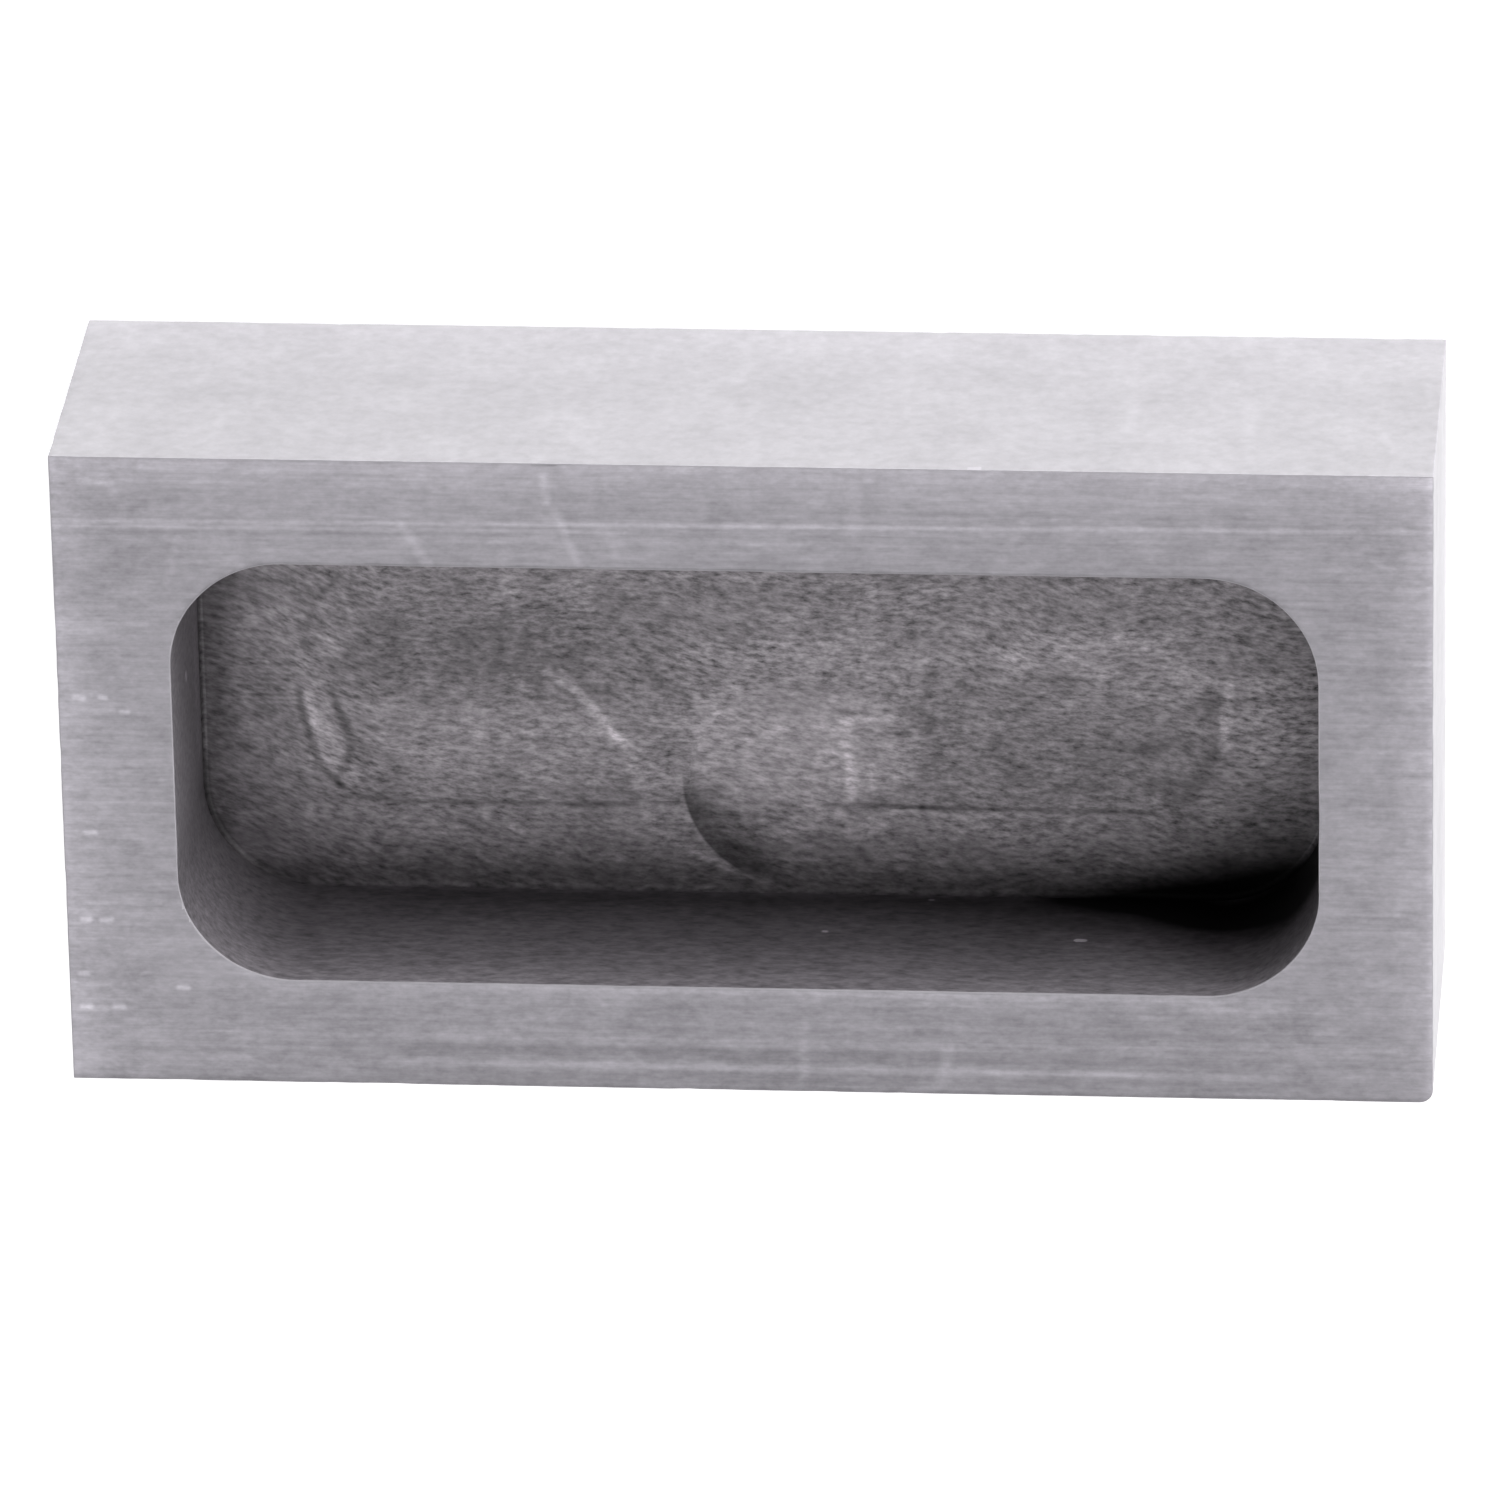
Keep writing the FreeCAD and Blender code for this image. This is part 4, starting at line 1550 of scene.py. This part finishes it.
FLOOR_PAINTED_LIGHT_AND_MARKS = (
    # The cutter's track round the left end, and the line that it left along the block: painted
    # shade along the step that they leave.
    PathMark(((-37.1, 10.1), (-39.7, 7.5), (-40.6, 3.4)), 0.7, -0.28),
    PathMark(
        ((-41.2, -1.0), (-41.0, -3.2), (-40.3, -5.9), (-39.5, -8.2), (-37.9, -10.2)), 0.7, -0.42
    ),
    PathMark(((-37.9, -10.2), (-35.4, -11.4), (-32.1, -11.8), (-11.4, -11.75)), 0.5, -0.42),
    PatchMark((-40, -11.5), (-8, -10.3), (3.0, 0.8), 0.08),
    # The burr inside that track as a painted highlight, with painted shade beside it, and the fine
    # lines beside it.
    PathMark(((-38.8, 4.4), (-37.9, 2.6)), 1.1, 0.35),
    PathMark(((-39.7, -1.4), (-39.2, -4.2), (-38.6, -6.2), (-38.6, -8.2)), 1.7, 0.42),
    PathMark(((-40.4, -1.6), (-40.1, -4.0), (-39.4, -6.6)), 0.7, 0.3),
    PathMark(
        ((-38.3, -1.2), (-37.6, -3.5), (-36.7, -5.5), (-37.0, -7.9), (-37.9, -9.4)), 0.75, -0.42
    ),
    PatchMark((-36.4, -9.8), (-32.0, -6.0), (0.8, 0.9), -0.38),
    PatchMark((-43, -4), (-37, 2.5), (1.5, 1.5), -0.08),
    PatchMark((-43, -16), (-37.5, -12.2), (1.5, 1.2), -0.12),
    PathMark(((-42.5, 5.0), (-45.6, 5.8)), 3.0, 0.28),
    CombMark((-45.8, -2.6), (-41.6, 2.2), (0.8, 0.6), 0.24, 0.5),
    # The scratch that runs on as the bright rim of the plunge mark, and short ones beside it.
    PathMark(((-19.1, 1.0), (-17.1, -0.3), (-14.6, -3.0), (-12.4, -5.7)), 0.7, 0.55),
    PathMark(((-17.9, 1.3), (-15.0, -2.1), (-13.0, -5.3)), 0.5, 0.4),
    PathMark(
        ((-12.2, -5.7), (-11.2, -9.0), (-10.6, -12.2), (-9.8, -14.0), (-6.5, -16.2)), 1.1, 0.42
    ),
    PathMark(((-6.5, -16.2), (-3.6, -17.8), (0.2, -19.0)), 0.8, 0.7),
    PathMark(((-6.6, -0.4), (-4.9, -1.9), (-2.9, -3.5)), 0.55, 0.35),
    PathMark(((-9.2, -4.1), (6.7, -4.0)), 0.5, 0.22),
    PathMark(((-30.0, -4.9), (-11.7, -4.8)), 0.5, 0.25),
    # Lines between the plunge mark and the right end, the first two of them painted shade along the
    # step at -Y.
    PathMark(((5.6, -11.4), (14.0, -11.5)), 0.5, -0.4),
    PathMark(((14.0, -11.5), (34.4, -11.7)), 0.5, -0.45),
    PathMark(((12.0, -12.1), (32.0, -12.3)), 0.4, 0.16),
    PathMark(((7.4, -3.2), (7.4, -5.8), (7.7, -8.6), (7.6, -10.9)), 0.9, 0.62),
    PathMark(((8.0, -4.3), (12.8, -4.4)), 0.5, -0.35),
    PathMark(((6.8, -3.2), (12.8, -2.9)), 0.6, 0.35),
    PathMark(((15.0, 1.6), (14.5, -0.7), (14.5, -3.9), (14.3, -8.5)), 0.9, -0.2),
    PathMark(((14.5, 1.7), (21.2, 1.7), (29.1, 1.0)), 0.8, -0.15),
    # The cutter's track round the right end: painted shade inside its step and a painted highlight
    # outside it, with marks near it.
    PathMark(((39.5, -0.7), (40.3, -4.8), (38.6, -9.0), (35.7, -10.9)), 1.2, -0.22),
    PathMark(((41.2, 0.7), (40.8, -5.2)), 0.9, 0.7),
    PathMark(((29.1, 3.3), (32.5, 3.4)), 0.5, -0.35),
    PathMark(((26.0, 3.9), (31.0, 5.2), (36.5, 3.4), (38.5, 1.0)), 2.4, 0.24),
    PathMark(((17.9, 6.0), (21.2, 3.3), (23.7, 2.7)), 1.2, 0.2),
    # Painted shade along the foot of the left wall, round the corner at -X and -Y, and over the
    # round between wall and floor.
    PathMark(((-50, 15), (-50, -9), (-49.5, -13)), 5.0, -0.45),
    PathMark(((-48, -16), (-45.5, -18.2), (-42, -19.6)), 3.5, -0.14),
    PathMark(((-49.75, 16), (-49.75, -9.4)), 0.5, -0.12),
    RingMark((-40, -10), 9.75, 0.5, 0.5, 225, 72, -0.45),
    # Paler and darker patches, from the left end to the right.
    PatchMark((-47.5, 1.0), (-43.5, 6.5), (1.5, 1.5), 0.14),
    PatchMark((-35, -9.5), (-11, -2.5), (2.5, 0.9), 0.24),
    PatchMark((-38, -1.5), (-8, 8), (3.0, 1.2), -0.28),
    PatchMark((-37, 0.3), (-16, 5.6), (3.0, 1.5), -0.32),
    PatchMark((-47, 8.2), (-27, 12), (3.0, 1.0), -0.12),
    PatchMark((-19, -8.5), (-13.5, -5.8), (1.5, 1.0), -0.15),
    PatchMark((-31, -16), (-25, -12), (2.0, 1.5), -0.12),
    PatchMark((-7, -12.2), (-1.5, -10), (1.0, 1.0), 0.22),
    PatchMark((-5, 1), (38, 5), (3.0, 1.2), 0.3),
    PatchMark((15.2, -11.6), (27, 0.4), (1.2, 1.0), -0.17),
    PatchMark((27, -11.6), (39.6, -2.0), (2.0, 1.4), -0.17),
    PatchMark((18, -9.8), (39.5, -4.2), (2.0, 1.2), -0.31),
    PatchMark((42, -8), (47, 3), (2.0, 2.5), 0.24),
    PatchMark((42, -13.8), (51, -9.5), (2.0, 1.5), -0.22),
    # Painted light on the floor along the side wall at -Y, where the wall shades it, and paler
    # round the plunge mark.
    PatchMark((-46, -18.2), (42, -12.8), (5.0, 2.2), 0.82),
    PatchMark((-44, -17.6), (38, -16.2), (4.0, 0.8), 0.27),
    PatchMark((-6, -11), (7.4, -4.2), (0.9, 1.8), 0.55),
    PatchMark((-5, -5), (7.4, -0.5), (1.5, 1.5), 0.35),
    PatchMark((7.6, -11), (12.4, -0.5), (1.0, 1.5), 0.42),
    PatchMark((5.5, -10), (10.5, -3), (1.2, 1.5), 0.2),
    PatchMark((0, 0), (12, 6), (3.0, 2.0), 0.12),
    PatchMark((-6, -15), (10.5, -0.5), (2.0, 1.5), 0.32),
    PatchMark((3, -15.5), (20, -12.0), (3.0, 1.0), 0.2),
    # Painted shade: the plunge mark's dark crescent, and the dark corner at +X and -Y.
    RingMark((3, -9.3), 10.1, 6.0, 0.3, 220, 50, -1.0),
    PathMark(((24.0, -22.6), (41.0, -19.7), (51.0, -18.0)), 4.6, -1.35),
    PatchMark((24, -17.2), (50, -12.5), (3.0, 1.5), -0.15),
    # Small patches.
    PatchMark((43, -4.2), (49, -1.8), (2.0, 1.0), 0.12),
    PatchMark((45.8, 4), (51, 8), (1.0, 1.0), -0.18),
    PatchMark((22, 8.3), (29, 11), (2.0, 0.8), -0.1),
    PatchMark((-6, 2), (0, 4.5), (1.5, 1.0), -0.1),
    PatchMark((24, -0.6), (40, 2.2), (2.0, 0.8), 0.1),
    PatchMark((-12, -6.2), (4, -4), (1.5, 0.8), 0.1),
    PatchMark((-5, -2), (4, 2), (1.5, 1.0), 0.08),
    PatchMark((-6, -11.6), (22, -10.3), (2.0, 0.7), 0.1),
    PatchMark((-1, -18.5), (17, -17), (2.0, 0.7), 0.12),
)
FLOOR_CONTRAST_MARKS = (
    PatchMark((40, -9), (50, 16), (2.0, 2.0), 0.2),
    PatchMark((-36, -13), (-12, -2), (3.0, 1.5), -0.2),
    PatchMark((-50, -20), (-42, 14), (2.0, 2.0), -0.25),
    PatchMark((-50, -21), (50, -15), (2.0, 3.0), -0.4),
    PatchMark((-6, -12), (12, -1), (2.0, 2.0), -0.5),
)
WALL_PAINTED_LIGHT_AND_MARKS = (
    # Painted light under the mouth, painted shade towards the foot, and painted light again right
    # at the foot.
    PatchMark((-44, 27.5), (60, 31), (3, 1.5), 0.22),
    PatchMark((-46, 26.5), (-16, 31), (5, 2.0), 0.2),
    PatchMark((-40, 18), (-28, 24), (5, 4.0), 0.15),
    PatchMark((-34, 10), (60, 16.5), (6, 2.0), -0.44),
    PatchMark((-34, 9), (60, 13.5), (6, 1.2), -0.43),
    PatchMark((-44, 8), (30, 11.2), (4, 0.8), -0.15),
    PatchMark((-34, 9), (27, 11.1), (6, 0.6), 0.7),
    # Broad patches, the palest of them above the dark corner.
    PatchMark((28, 17), (46, 24), (6, 3.0), 0.65),
    PatchMark((15, 17.5), (40, 20.5), (4, 1.2), 0.15),
    PatchMark((27, 16.8), (44, 21.3), (3, 1.2), 0.5),
    PatchMark((-44, 16.6), (30, 20.5), (4, 1.0), 0.08),
    PatchMark((32, 24), (42, 26.5), (2, 1.2), 0.15),
    PatchMark((27, 12.3), (42, 14), (3, 1.0), -0.18),
    PatchMark((-42, 17.5), (-18, 21.5), (3, 1.5), 0.1),
    # Painted shade in the dark corner, and three specks.
    PathMark(((27, 8.5), (34, 10.5), (39, 14.3), (43.5, 16.0), (47, 18.0), (50, 17.0)), 5.5, -1.2),
    PatchMark((43, 4), (60, 15), (3, 3), -1.0),
    PathMark(((28.2, 19.1), (28.8, 19.1)), 0.45, 6.0),
    PathMark(((5.7, 18.2), (5.9, 18.2)), 0.35, 2.5),
    PathMark(((14.7, 11.3), (14.9, 11.3)), 0.3, 2.0),
)
END_WALL_PAINTED_LIGHT_AND_MARKS = (
    # Darker at one side, painted light towards the foot, slightly darker above it, and one speck.
    PatchMark((-14, 10), (-7, 32), (2, 2), -0.18),
    PatchMark((-6, 8), (12, 13.8), (3, 1.5), 0.6),
    PatchMark((-14, 14), (12, 31), (3, 1.5), -0.06),
    PathMark(((4.3, 19.7), (4.7, 19.7)), 0.5, 2.2),
)

FINISHES = {
    Surface.RIM: SawnRim(
        name="sawn_rim",
        tint=(0.43, 0.412, 0.45),
        marks={Plane.LEVEL: RIM_PAINTED_LIGHT_AND_MARKS},
        contrast_marks=RIM_CONTRAST_MARKS,
    ),
    # The sides' and the arrises' tints are paler than the rim's, partly painted sheen of the white
    # surroundings.
    Surface.SIDE: RubbedSide(
        name="rubbed_side",
        tint=(0.493, 0.48, 0.507),
        marks={Plane.LONG_SIDE: SIDE_MARKS},
    ),
    Surface.ARRIS: RubbedSide(name="eased_arris", tint=(0.56, 0.54, 0.58)),
    # The floor's and the walls' tints are darker than the rim's, partly painted shade.
    Surface.FLOOR: MilledFloor(
        name="milled_floor",
        tint=(0.27, 0.252, 0.27),
        marks={Plane.LEVEL: FLOOR_PAINTED_LIGHT_AND_MARKS},
        contrast_marks=FLOOR_CONTRAST_MARKS,
    ),
    Surface.WALL: MilledWall(
        name="milled_wall",
        tint=(0.238, 0.222, 0.242),
        marks={Plane.LONG_SIDE: WALL_PAINTED_LIGHT_AND_MARKS, Plane.SHORT_SIDE: END_WALL_PAINTED_LIGHT_AND_MARKS},
    ),
}

LAMPS = (
    Softbox("side_softbox", 0, 8, 0.6, 0.22, 3.7),
    Softbox("right_corner_softbox", 45, 12, 0.7, 0.35, 6.5),
    Softbox("right_softbox", 90, 50, 0.5, 0.4, 1.7),
    Softbox("low_right_softbox", 90, 6, 0.5, 0.2, 2.2),
    Softbox("high_left_softbox", 225, 62, 0.5, 0.5, 2.2),
    Softbox("high_right_softbox", 140, 65, 0.4, 0.4, 1.2),
    Softbox("far_side_fill", 190, 1, 0.8, 0.05, 2.0),
    Softbox("left_fill", 270, 1, 0.8, 0.05, 2.0),
)


def main() -> None:
    """Builds the studio, the camera and the mould, and reports each piece."""
    logging.basicConfig(level=logging.INFO, format="%(message)s")
    bpy.context.scene.view_settings.view_transform = "Standard"
    block = MouldBlock(*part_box(NODE))
    PhotoCamera().build()
    Studio(lamps=LAMPS).build(Vector((0, 0, block.high.z)))
    piece = block.build()
    block.dress(piece, FINISHES)
    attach(piece, BODY)
    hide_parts(NODE)
    LOG.info("%s: %d faces", piece.name, len(piece.data.polygons))


if __name__ == "__main__":
    main()
